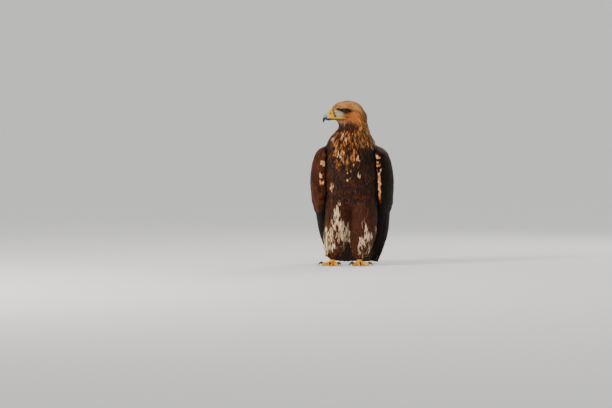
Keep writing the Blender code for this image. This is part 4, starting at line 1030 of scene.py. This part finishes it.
TAIL_ROOT = np.array([0.0, AXIS_Y + 0.176, 0.214])
TAIL_TIP = np.array([0.0, AXIS_Y + 0.317, 0.003])
TAIL_WIDTH = 47.0
ASHY_BROWN = np.array([0.020, 0.0125, 0.0090])
TAIL_FAN = math.radians(6.5)
TAIL_PAIRS = 6
TAIL_SPREAD = 2.25
TAIL_COUNT = 2 * TAIL_PAIRS
TAIL_SEED = 50
TAIL_COVERT_FAN = math.radians(10.5)
UNDER_TAIL_GAP = -13.0
TAIL_OUTLINE = (
    (0.0, 0.34), (0.12, 0.50), (0.3, 0.72), (0.5, 0.88), (0.7, 1.0), (0.85, 1.0), (0.94, 0.88),
    (0.985, 0.55), (1.0, 0.0),
)
tail_lie = (TAIL_TIP - TAIL_ROOT) / np.linalg.norm(TAIL_TIP - TAIL_ROOT)
tail_up = np.cross([1.0, 0.0, 0.0], tail_lie)
tail_up *= np.sign(tail_up[1])
TAIL_LENGTH = np.linalg.norm(TAIL_TIP - TAIL_ROOT) / MM


def tail_point(depth, fan):
    """The tail's upper face in metres: depth down its length in mm, fan its angle out from the middle."""
    spread = np.sin(fan) * (depth + 170)
    arch = -0.0022 * spread * spread
    return TAIL_ROOT + (
        tail_lie * depth[:, None] + np.array([1.0, 0, 0]) * spread[:, None] + tail_up * arch[:, None]
    ) * MM


def tail_unwrap(roots):
    """The tail's own unwrap, in the lower right part of the map."""
    return np.stack([0.64 + 0.34 * (roots[:, 1] / 0.4 + 0.5), 0.1 + 0.3 * (roots[:, 0] / 300 + 0.3)], 1)


tail_pattern = feather_pattern(TAIL_OUTLINE, 7)
probe = np.array([100.0]), np.array([0.0])
tail_across = tail_point(probe[0], probe[1] + 0.01) - tail_point(probe[0], probe[1])
tail_outward = 1 if np.cross(tail_lie, tail_across[0]) @ tail_up > 0 else -1
draw = np.random.default_rng(TAIL_SEED)
pairs = np.repeat(np.arange(TAIL_PAIRS), 2)
sides = np.tile([1, -1], TAIL_PAIRS)
fans = sides * TAIL_FAN * (pairs + 0.5) / TAIL_PAIRS * TAIL_SPREAD
lows = -1.55 * pairs - np.where(sides < 0, 0.75, 0.0)
tail_roots = np.stack([np.zeros(TAIL_COUNT), fans * 0.8], 1)
tail_tips = np.stack([TAIL_LENGTH * (1 - 0.004 * pairs**2) - 1, fans], 1)
places = lay_on_sheet(
    tail_point, tail_pattern, tail_roots, tail_tips, np.full(TAIL_COUNT, TAIL_WIDTH),
    np.stack([lows - 2.5, lows], 1), np.zeros(TAIL_COUNT), tail_outward, thick=0.7, cup=0.02,
)
places[..., 2] = np.maximum(places[..., 2], 0.0002)
chance = draw.random(TAIL_COUNT)[:, None]
marks = np.stack([np.full(TAIL_COUNT, 0.62), draw.random(TAIL_COUNT), np.ones(TAIL_COUNT)], 1)
middle, rim = ASHY_BROWN * (0.8 + 0.4 * chance), ASHY_BROWN * (1.7 + 0.5 * chance)
join_feathers(
    "tail_feathers", tail_pattern, places, middle, rim, marks, tail_unwrap(tail_roots), "flight_feather",
    web_flight, "tail",
)
# The coverts over and under its root: how many in each row, where they start and end, lifts and width
COVERT_FANS = ((9, -46, 60, 6.0, -3.0, 34), (8, -20, 84, 3.0, -6.0, 36), (8, -70, 26, 9.0, -1.0, 32))
laid, laid_roots = [], []
for turned in (1, -1):
    for count, root, tip, lift, sunk, width in COVERT_FANS:
        fan = np.linspace(-1, 1, count) * TAIL_COVERT_FAN
        row_roots = np.stack([np.full(count, root), fan * 0.75], 1)
        row_tips = np.stack([tip + draw.normal(0, 5, count), fan], 1)
        gap = 0.0 if turned > 0 else UNDER_TAIL_GAP
        lifts = np.array([gap + turned * sunk, gap + turned * lift]) + draw.normal(0, 0.4, (count, 1))
        rolls = draw.normal(0, 0.8, count)
        widths = np.full(count, width)
        laid.append(
            lay_on_sheet(tail_point, covert_pattern, row_roots, row_tips, widths, lifts, rolls, tail_outward)
        )
        laid_roots.append(row_roots)
places, roots = np.concatenate(laid), np.concatenate(laid_roots)
count = len(places)
chance = draw.random(count)
marks = np.stack([np.full(count, 0.6), chance, 0 * chance], 1)
join_feathers(
    "tail_coverts", covert_pattern, places, blend(BLACKISH * 1.2, UMBER, chance),
    blend(UMBER, RUFOUS * 0.6, 0.5 * chance), marks, tail_unwrap(roots), "plumage_brown", web_wing,
)


# Eyes
# A dark brown iris and black pupil under a clear wet cornea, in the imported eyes' places. A thin dark lid
# rings each eye, and the bony edge of the brow hangs over it.

EYE_RADIUS = 10.5
CORNEA_BULGE = 0.035
LID_LENGTH = 9.0
LID_HEIGHT = 7.2
LID_OUT = 33.0
LID_THICK = 1.5
HEAD_TUBE_POINTS = 16
LID_SECTION = (
    (1.5, -1.6), (1.35, -0.3), (0.9, 0.6), (0.2, 1.0), (-0.5, 0.75), (-0.85, 0.1), (-0.7, -0.8), (0, -1.6),
)
LID_STEPS = 49
BROW_EDGE = (  # share of its length, then mm ahead, out and up, and radius
    (0.0, 62, 20.5, 13.0, 1.0),
    (0.2, 53, 25.4, 15.5, 2.3),
    (0.45, 40, 31.4, 17.2, 2.9),
    (0.7, 27, 35.2, 17.4, 2.8),
    (0.88, 16, 36.2, 16.0, 2.0),
    (1.0, 8, 36.4, 14.0, 0.8),
)


def rings_mesh(bm, rings, tones, closed=False):
    """A tube through rings of points, an array (rings, points, 3) in metres, each ring with its tone."""
    along, around = rings.shape[:2]
    layer = bm.verts.layers.float.get("Tone") or bm.verts.layers.float.new("Tone")
    made = bmesh.ops.create_grid(bm, x_segments=around, y_segments=along - 1, size=1)["verts"]
    for v in made:
        i = round((v.co.x + 1) / 2 * around) % around
        j = round((v.co.y + 1) / 2 * (along - 1))
        v.co = rings[j, i]
        v[layer] = tones[j] if np.ndim(tones) == 1 else tones[j, i]
    bmesh.ops.remove_doubles(bm, verts=made, dist=1e-8)
    if not closed:
        bmesh.ops.holes_fill(bm, edges=[e for e in bm.edges if e.is_boundary])
    bmesh.ops.recalc_face_normals(bm, faces=bm.faces)


def tube_rings(path, radii, points, flat=1.0):
    """Round rings square to a path of points in metres, flat times as tall as they are wide."""
    ahead = np.gradient(path, axis=0)
    ahead /= np.linalg.norm(ahead, axis=1)[:, None]
    side = np.cross(ahead, [0.0, 0.0, 1.0])
    side /= np.linalg.norm(side, axis=1)[:, None]
    up = np.cross(side, ahead)
    turn = (np.arange(points) * 2 * math.pi / points)[None, :, None]
    out = side[:, None, :] * np.cos(turn) + flat * up[:, None, :] * np.sin(turn)
    return path[:, None, :] + out * radii[:, None, None]


def head_tube(line, shares, side, flat):
    """Rings along a line of the head, whose rows are share, mm ahead, out and up, and radius."""
    rows = smooth_rows(line, shares)
    path = np.array([in_head(ahead, side * out, up) for ahead, out, up, _ in rows])
    return tube_rings(path, rows[:, 3] * MM, HEAD_TUBE_POINTS, flat)


def toned_material(
    name, stops, roughness, grain, bump_depth, coat=0.0, cells=False, mottle=0.25, gloss=0.35
):
    """Skin, horn or a wet surface, finely grained: its colour runs through stops with the piece's Tone."""
    made, tree, shader = new_material(name)
    link = tree.links.new
    tone, scale, coords, grains, spots, shade, bump = named_nodes(
        tree, "Attribute", "ValToRGB", "TexCoord", "TexVoronoi" if cells else "TexNoise", "TexNoise", "Mix",
        "Bump",
    )
    tone.attribute_name = "Tone"
    elements = scale.color_ramp.elements
    elements[0].position, elements[1].position = stops[0][0], stops[-1][0]
    for place, _ in stops[1:-1]:
        elements.new(place)
    for element, (_, colour) in zip(elements, stops):
        element.color = (*colour, 1.0)
    shade.data_type = "RGBA"
    shade.blend_type = "MULTIPLY"
    set_inputs(grains, {"Scale": grain})
    set_inputs(spots, {"Scale": 140, "Detail": 5})
    set_inputs(shade, {"Factor": mottle})
    set_inputs(bump, {"Strength": 0.5, "Distance": bump_depth})
    set_inputs(shader, {"Roughness": roughness, "Specular IOR Level": gloss})
    set_inputs(shader, {"Coat Weight": coat, "Coat Roughness": 0.04})
    link(tone.outputs["Fac"], scale.inputs["Fac"])
    link(coords.outputs["Object"], grains.inputs["Vector"])
    link(coords.outputs["Object"], spots.inputs["Vector"])
    link(scale.outputs["Color"], shade.inputs["A"])
    link(spots.outputs["Color"], shade.inputs["B"])
    link(shade.outputs["Result"], shader.inputs["Base Color"])
    link(grains.outputs["Distance" if cells else "Fac"], bump.inputs["Height"])
    link(bump.outputs["Normal"], shader.inputs["Normal"])
    return made


wet_eye = toned_material(
    "wet_eye",
    ((0.0, (0.004, 0.003, 0.003)), (0.112, (0.004, 0.003, 0.003)), (0.125, (0.030, 0.010, 0.003)),
     (0.19, (0.055, 0.020, 0.006)), (0.232, (0.015, 0.006, 0.002)), (0.25, (0.006, 0.004, 0.003))),
    0.25, 900, 0.00002, coat=0.22, gloss=0.1,
)
lid_skin = toned_material(
    "lid_skin", ((0.0, (0.018, 0.010, 0.006)), (1.0, (0.006, 0.004, 0.003))), 0.6, 1500, 0.0002
)
brow_skin = toned_material(
    "brow_skin", ((0.0, (0.008, 0.004, 0.003)), (1.0, (0.020, 0.009, 0.005))), 0.7, 1300, 0.0003
)
lids, brows = bmesh.new(), bmesh.new()
for side_name, side in (("l", 1), ("r", -1)):
    ball = bmesh.new()
    tone = ball.verts.layers.float.new("Tone")
    bmesh.ops.create_uvsphere(ball, u_segments=48, v_segments=64, radius=EYE_RADIUS * MM)
    for v in ball.verts:
        v[tone] = math.acos(max(-1.0, min(1.0, v.co.z / (EYE_RADIUS * MM)))) / math.pi
        v.co *= 1 + CORNEA_BULGE * max(0.0, 1 - v[tone] / 0.25)
    gaze = Vector(SIDEWAYS * side + FORWARD * 0.2)
    turned = gaze.to_track_quat("Z", "Y").to_matrix().to_4x4()
    place = Matrix.Translation(Vector(in_head(EYE_AHEAD, side * EYE_OUT, EYE_UP))) @ turned
    bmesh.ops.transform(ball, matrix=place, verts=ball.verts)
    finished("eyeball_" + side_name, ball, "eye", "eye_" + side_name, material=wet_eye)

    rings = []
    for turn in np.linspace(0, 2 * math.pi, LID_STEPS):
        c, s = math.cos(turn), math.sin(turn)
        tall = LID_HEIGHT * (0.86 if s > 0 else 1.0)
        ahead = LID_LENGTH * c * (1.12 if c > 0 else 1.0)
        over = EYE_UP + tall * s - 0.08 * ahead
        centre = in_head(EYE_AHEAD + ahead, side * (LID_OUT - 0.16 * ahead), over)
        out = FORWARD * c + np.array([0, 0, s])
        rings.append([centre + (out * a + SIDEWAYS * side * b) * LID_THICK * MM for a, b in LID_SECTION])
    rings_mesh(lids, np.array(rings), np.linspace(0, 1, LID_STEPS), closed=True)

    shares = np.linspace(0, 1, 26)
    rings_mesh(brows, head_tube(BROW_EDGE, shares, side, 0.8), 0.5 + 0.5 * np.sin(shares * 40))
finished("eyelids", lids, "plumage_gold", material=lid_skin)
finished("brow_edges", brows, "plumage_gold", material=brow_skin)


# Bill
# A deep hooked bill: horn, pale blue-grey at its base and black at the hook, over a shorter lower half. Its
# root is the soft yellow cere with a nostril on each side, whose edge runs back as the line of the gape.

# Its ridge, cutting edge and half width at eight stations, in mm ahead and up
BILL_RIDGE = ((76, 22), (92, 13), (101.5, 4), (111, -5), (117.5, -15), (120.5, -25), (120, -33), (117, -40))
BILL_EDGE = (
    (74, -19), (87, -20), (96, -21), (103, -23.5), (108, -26.5), (111.5, -30.5), (114, -35), (115.8, -39.6),
)
BILL_HALF = (16, 13.5, 11.5, 9.5, 7.5, 5.2, 3.4, 0.8)
LOWER_EDGE = ((64, -20.0), (84, -20.0), (95, -21.0), (102, -23.6), (106.5, -27.0))
LOWER_KEEL = ((62, -27), (82, -29.0), (93, -30.2), (101, -29.6), (105.5, -28.2))
LOWER_HALF = (8, 9.5, 8.4, 6.2, 1.6)
BILL_ROOF = (
    (0, 0, 1), (1, 0.50, 0.93), (2, 0.84, 0.70), (3, 1, 0.36), (4, 0.95, 0.02), (5, 0.5, 0.04), (6, 0, 0.06),
)
GAPE_LINE = (  # share of its length, then mm ahead, out and up, and radius
    (0.0, 95, 10.2, -20.6, 1.2),
    (0.15, 84, 12.4, -19.8, 2.4),
    (0.3, 71, 16.0, -19.4, 3.5),
    (0.5, 55, 23.2, -19.2, 3.8),
    (0.78, 40, 29.6, -19.4, 3.3),
    (1.0, 28, 33.4, -21.4, 1.3),
)
CERE_START = 0.3
CERE_END = 2.0
HORN_START = CERE_END - 0.55
NOSTRIL = (90.5, -1.0)
NOSTRIL_HALF = (2.7, 4.2)
NOSTRIL_DEPTH = 2.2


def bill_rings(ridge, edge, half, places, keel=False, swell=0.0):
    """Sections of the bill at places counted in its stations: a rounded roof, or with keel a trough."""
    stations = [(k, *top, *low, wide) for k, (top, low, wide) in enumerate(zip(ridge, edge, half))]
    roof = smooth_rows(BILL_ROOF, np.linspace(0, 6, 37))
    section = np.concatenate([roof, (roof * [-1, 1])[-2:0:-1]])
    rings = []
    for ahead_top, up_top, ahead_low, up_low, wide in smooth_rows(stations, places):
        upper, lower = in_head(ahead_top, 0, up_top), in_head(ahead_low, 0, up_low)
        share = 1 - section[:, 1] if keel else section[:, 1]
        ring = lower + (upper - lower) * share[:, None] + SIDEWAYS * (section[:, :1] * wide * MM)
        middle = ring.mean(axis=0)
        rings.append(middle + (ring - middle) * (1 + swell))
    return np.array(rings)


yellow_skin = toned_material(
    "yellow_skin",
    ((0.0, (0.72, 0.37, 0.0)), (0.4, (0.68, 0.26, 0.0)), (0.65, (0.42, 0.12, 0.008)),
     (1.0, (0.02, 0.006, 0.004))),
    0.42, 1100, 0.0002, coat=0.06, mottle=0.2, gloss=0.2,
)
bill_horn = toned_material(
    "bill_horn",
    ((0.0, (0.42, 0.46, 0.38)), (0.3, (0.22, 0.26, 0.25)), (0.55, (0.03, 0.036, 0.042)),
     (1.0, (0.005, 0.005, 0.006))),
    0.28, 600, 0.0001, coat=0.35, mottle=0.3,
)
cere = bmesh.new()
places = np.linspace(CERE_START, CERE_END, 44)
rings = bill_rings(BILL_RIDGE, BILL_EDGE, BILL_HALF, places, swell=0.03)
ahead, out, up = head_places(rings.reshape(-1, 3))
lean = (ahead - NOSTRIL[0]) + 0.25 * (up - NOSTRIL[1])
near = np.hypot(lean / NOSTRIL_HALF[0], (up - NOSTRIL[1]) / NOSTRIL_HALF[1])
pit = np.clip(1.15 - near, 0, 1) ** 0.6 * (np.abs(out) > 5)
rim_rise = 0.7 * np.exp(-(((near - 1.35) / 0.3) ** 2)) * (np.abs(out) > 5)
proud = ((rim_rise - NOSTRIL_DEPTH * pit) * MM)[:, None]
moved = rings.reshape(-1, 3) + np.sign(out)[:, None] * SIDEWAYS * proud
rear_edge = 3.4 * ramp(places, CERE_START + 0.5, CERE_START)
front_edge = (ramp(places, CERE_END - 0.16, CERE_END) + rear_edge)[:, None, None]
# Its front and rear edges slant back from the ridge to the gape
slant = ramp(up, 2, -17) * ramp(np.repeat(places, rings.shape[1]), 0.9, CERE_END)
tuck = ramp(up, -2, -16) * ramp(np.repeat(places, rings.shape[1]), 1.0, CERE_START)
moved = moved - FORWARD * ((4.5 * slant + 6.5 * tuck) * MM)[:, None]
rings = moved.reshape(rings.shape)
rings = rings + (rings.mean(axis=1, keepdims=True) - rings) * 0.05 * front_edge
# Tone: the nostril's pit is painted near black, a painted shade in the open nostril; the cere is a little
# darker round it and towards its top
tones = np.clip(pit * 1.6 + 0.3 * ramp(near, 2.0, 1.1) + 0.3 * ramp(up, 8, 20), 0, 1)
rings_mesh(cere, rings, tones.reshape(rings.shape[:2]))
for side in (1, -1):
    shares = np.linspace(0, 1, 40)
    rings_mesh(cere, head_tube(GAPE_LINE, shares, side, 0.7), 0.1 + 0.35 * ramp(shares, 0.5, 1.0))
finished("cere_and_gape", cere, "yellow_skin", "cere", material=yellow_skin)

upper = bmesh.new()
places = np.linspace(HORN_START, len(BILL_RIDGE) - 1, 64)
rings = bill_rings(BILL_RIDGE, BILL_EDGE, BILL_HALF, places)
ahead, out, up = head_places(rings.reshape(-1, 3))
growth = 0.05 * np.sin(np.repeat(places, rings.shape[1]) * 26)
tones = ramp(ahead - 0.55 * up, 108, 124) + growth + 0.1
rings_mesh(upper, rings, np.clip(tones, 0, 1).reshape(rings.shape[:2]))
finished("hooked_upper_bill", upper, "horn", "bill_upper", material=bill_horn)

lower = bmesh.new()
places = np.linspace(0, len(LOWER_EDGE) - 1, 40)
rings = bill_rings(LOWER_EDGE, LOWER_KEEL, LOWER_HALF, places, keel=True)
ahead = head_places(rings.reshape(-1, 3))[0]
rings_mesh(lower, rings, (0.5 + 0.5 * ramp(ahead, 84, 96)).reshape(rings.shape[:2]))
finished("lower_bill", lower, "horn", "bill_lower", material=bill_horn)


# Feet
# Strong yellow toes, plated with scutes above and padded below, three ahead and one behind on each foot.
# The claws are long curved black horn, held in the end of each toe, and their points just reach the floor.

ANKLE_Y = AXIS_Y + 0.028
FEET = (("l", 1, 0.034), ("r", -1, -0.080))
TOES = (  # name, degrees from straight ahead towards the outer side, length, claw's reach
    ("1", 172, 37, 33),
    ("2", -34, 43, 31),
    ("3", 6, 61, 27),
    ("4", 56, 46, 24),
)
TOE_STEPS = ((0.0, 13.0, 1.15), (0.3, 10.5, 1.1), (0.55, 7.4, 1.02), (0.8, 7.0, 1.06), (1.0, 10.5, 0.84))
TOE_RADIUS = 7.0
TOE_SINK = 6.0
ANKLE_ROWS = ((0, 13), (4, 14.5), (12, 14), (19, 12.2), (26, 10.5))
SCUTE = 3.6
CLAW_RADIUS = 5.4
CLAW_ARCH = 12.5
CLAW_SINK = 5.0
CLAW_TIP = 0.3
TOE_VOXEL = 0.9 * MM

toe_skin = toned_material(
    "toe_skin",
    ((0.0, (0.90, 0.42, 0.012)), (0.5, (0.82, 0.30, 0.010)), (0.8, (0.36, 0.11, 0.010)),
     (1.0, (0.10, 0.035, 0.010))),
    0.42, 620, 0.0005, coat=0.1, cells=True, mottle=0.25,
)
claw_horn = toned_material(
    "claw_horn", ((0.0, (0.060, 0.055, 0.050)), (0.3, (0.014, 0.015, 0.018)), (1.0, (0.006, 0.006, 0.008))),
    0.25, 500, 0.00012, coat=0.4,
)
talons = bmesh.new()
for side_name, mirror, foot_x in FEET:
    ankle = np.array([foot_x, ANKLE_Y, 0.0])
    toes = bmesh.new()
    turn = np.arange(20) * 2 * math.pi / 20
    circle = np.stack([np.cos(turn), 1.1 * np.sin(turn), 0 * turn], 1)
    heights = np.linspace(0, 26, 14)
    rows = smooth_rows(ANKLE_ROWS, heights)
    rings = ankle + circle[None] * rows[:, :1, None] * MM
    rings = rings + np.array([0, 0, 1.0]) * heights[:, None, None] * MM
    rings_mesh(toes, rings, np.zeros(14))
    toe_lines = []
    for _, degrees, length, reach in TOES:
        heading = math.radians(degrees)
        ahead = np.array([mirror * math.sin(heading), -math.cos(heading), 0.0])
        shares = np.linspace(0, 1, 24)
        rows = smooth_rows(TOE_STEPS, shares)
        path = ankle + ahead * (shares * (length + TOE_SINK) * MM)[:, None]
        path[:, 2] += rows[:, 0] * MM
        knuckles = 1 + 0.05 * np.cos(shares * length / 15 * 2 * math.pi)
        radii = (TOE_RADIUS + 0.02 * length) * rows[:, 1] * knuckles * MM
        radii[-1] *= 0.8
        rings_mesh(toes, tube_rings(path, radii, 20), np.zeros(24))
        toe_lines.append((path, ahead))

        base = path[-1]
        t = np.linspace(0, 1, 30)
        lift = (1 - t) ** 2 * base[2] / MM + 2 * t * (1 - t) * (base[2] / MM + CLAW_ARCH) + t * t * 0.5
        claw_path = base + ahead * ((reach * t - CLAW_SINK) * MM)[:, None]
        claw_path[:, 2] = lift * MM
        claw_radii = (CLAW_RADIUS * (1 - t) ** 0.75 + CLAW_TIP) * MM
        rings = tube_rings(claw_path, claw_radii, 18, 1.15)
        rings[..., 2] = np.maximum(rings[..., 2], 0.0001)
        rings_mesh(talons, rings, t)

    piece = finished("toes_" + side_name, toes, "yellow_skin", "foot_" + side_name)
    web = remeshed(piece, TOE_VOXEL)
    smoothed(web, web.verts, 5)
    web.normal_update()
    places = np.array([v.co for v in web.verts])
    normals = np.array([v.normal for v in web.verts])
    best, along = np.full(len(places), 9.0), np.zeros(len(places))
    for path, ahead in toe_lines:
        off = places - path[0]
        reach_along = off @ ahead
        gap = np.linalg.norm(off - ahead * reach_along[:, None] - [0, 0, 1] * off[:, 2:], axis=1)
        gap = np.where(reach_along > 0.006, gap, 9.0)
        along = np.where(gap < best, reach_along, along)
        best = np.minimum(best, gap)
    upright = best > 1
    along = np.where(upright, places[:, 2], along)
    saw = (along / MM / SCUTE) % 1.0
    top = np.where(upright, (normals[:, 1] < -0.2) * 1.0, ramp(normals[:, 2], 0.25, 0.6))
    groove = ramp(saw, 0.22, 0.0) + ramp(saw, 0.88, 1.0)
    places = places + normals * ((0.35 - 0.75 * groove) * top * MM)[:, None]
    places[:, 2] = np.maximum(places[:, 2], 0.0001)
    for v, place in zip(web.verts, places):
        v.co = place
    web.to_mesh(piece.data)
    web.free()
    piece.data.shade_smooth()
    # Toe surfaces that face down are darkened, a painted shade under the toes
    underside_shade = ramp(-normals[:, 2], 0.3, 0.9) * 0.55
    tone_values = np.clip(0.75 * groove * top + underside_shade + 0.12, 0, 1).astype(np.float32)
    piece.data.attributes.new("Tone", "FLOAT", "POINT").data.foreach_set("value", tone_values)
    piece.data.materials.clear()
    piece.data.materials.append(toe_skin)
claw_nodes = ["claw_%s_%s" % (side_name, toe[0]) for side_name in ("l", "r") for toe in TOES]
finished("talons", talons, "horn", *claw_nodes, material=claw_horn)


# Stage
# A pale seamless floor and backdrop, a soft key light from the bird's right, a wide fill and a rim light.
# The camera stands far off, a little to the bird's left of straight ahead, as a long lens would see it.

FRAME_PIXELS = 612
MM_PER_PIXEL = 4.2
CAMERA_AZIMUTH = math.radians(4)
CAMERA_ELEVATION = math.radians(1.5)
CAMERA_DISTANCE = 9.0
SENSOR = 0.036
AIM = Vector((-0.1907, AXIS_Y + 0.026, 0.260))

BOWL_FLAT = 9.8
BOWL_CURVE = 12.0
BOWL_TOP = 22.0
BOWL_STEPS = 96
BOWL_GLOW = 0.36
WORLD_GLOW = 0.36
sweep = bmesh.new()
bend = [
    (BOWL_FLAT + BOWL_CURVE * math.sin(a), BOWL_CURVE - BOWL_CURVE * math.cos(a))
    for a in np.linspace(0, math.pi / 2, 20)
]
edge = [sweep.verts.new((x, 0, z)) for x, z in [(0, 0)] + bend + [(BOWL_FLAT + BOWL_CURVE, BOWL_TOP)]]
for a, b in zip(edge, edge[1:]):
    sweep.edges.new((a, b))
bmesh.ops.spin(
    sweep, geom=sweep.verts[:] + sweep.edges[:], cent=(0, 0, 0), axis=(0, 0, 1), angle=2 * math.pi,
    steps=BOWL_STEPS, use_merge=True,
)
bmesh.ops.remove_doubles(sweep, verts=sweep.verts, dist=1e-5)
bmesh.ops.recalc_face_normals(sweep, faces=sweep.faces)
bmesh.ops.reverse_faces(sweep, faces=sweep.faces)
backdrop_data = bpy.data.meshes.new("backdrop")
sweep.to_mesh(backdrop_data)
sweep.free()
backdrop_data.shade_smooth()
backdrop = bpy.data.objects.new("backdrop", backdrop_data)
bpy.context.scene.collection.objects.link(backdrop)
pale, _, paper = new_material("pale_paper")
set_inputs(paper, {"Base Color": (0.72, 0.71, 0.69, 1), "Roughness": 0.9})
set_inputs(paper, {"Emission Color": (0.9, 0.9, 0.9, 1), "Emission Strength": BOWL_GLOW})
backdrop_data.materials.append(pale)


def soft_light(name, place, aim, size, power, colour):
    data = bpy.data.lights.new(name, "AREA")
    data.shape = "DISK"
    data.size = size
    data.energy = power
    data.color = colour
    light = bpy.data.objects.new(name, data)
    light.location = place
    light.rotation_euler = (Vector(aim) - Vector(place)).to_track_quat("-Z", "Y").to_euler()
    bpy.context.scene.collection.objects.link(light)


soft_light("key", (-2.4, -2.3, 2.1), (0, -0.1, 0.4), 0.7, 135, (1.0, 0.93, 0.83))
soft_light("fill", (2.8, -2.2, 1.2), (0, -0.1, 0.35), 2.2, 10, (0.92, 0.96, 1.0))
soft_light("rim", (1.4, 2.2, 2.2), (0, 0.0, 0.45), 1.2, 40, (1.0, 0.97, 0.92))
world = bpy.data.worlds.new("studio")
world.use_nodes = True
set_inputs(world.node_tree.nodes["Background"], {"Color": (0.80, 0.82, 0.85, 1), "Strength": WORLD_GLOW})
bpy.context.scene.world = world

camera_data = bpy.data.cameras.new("camera")
camera_data.sensor_width = SENSOR * 1000
camera_data.lens = SENSOR * 1000 * CAMERA_DISTANCE / (FRAME_PIXELS * MM_PER_PIXEL * MM)
camera_data.clip_end = 100
camera = bpy.data.objects.new("camera", camera_data)
across = Vector((math.cos(CAMERA_AZIMUTH), math.sin(CAMERA_AZIMUTH), 0))
back = Vector(
    (
        math.sin(CAMERA_AZIMUTH) * math.cos(CAMERA_ELEVATION),
        -math.cos(CAMERA_AZIMUTH) * math.cos(CAMERA_ELEVATION),
        math.sin(CAMERA_ELEVATION),
    )
)
target = across * AIM.x + Vector((0, AIM.y, AIM.z))
camera.location = target + back * CAMERA_DISTANCE
camera.rotation_euler = (-back).to_track_quat("-Z", "Y").to_euler()
bpy.context.scene.collection.objects.link(camera)
bpy.context.scene.camera = camera
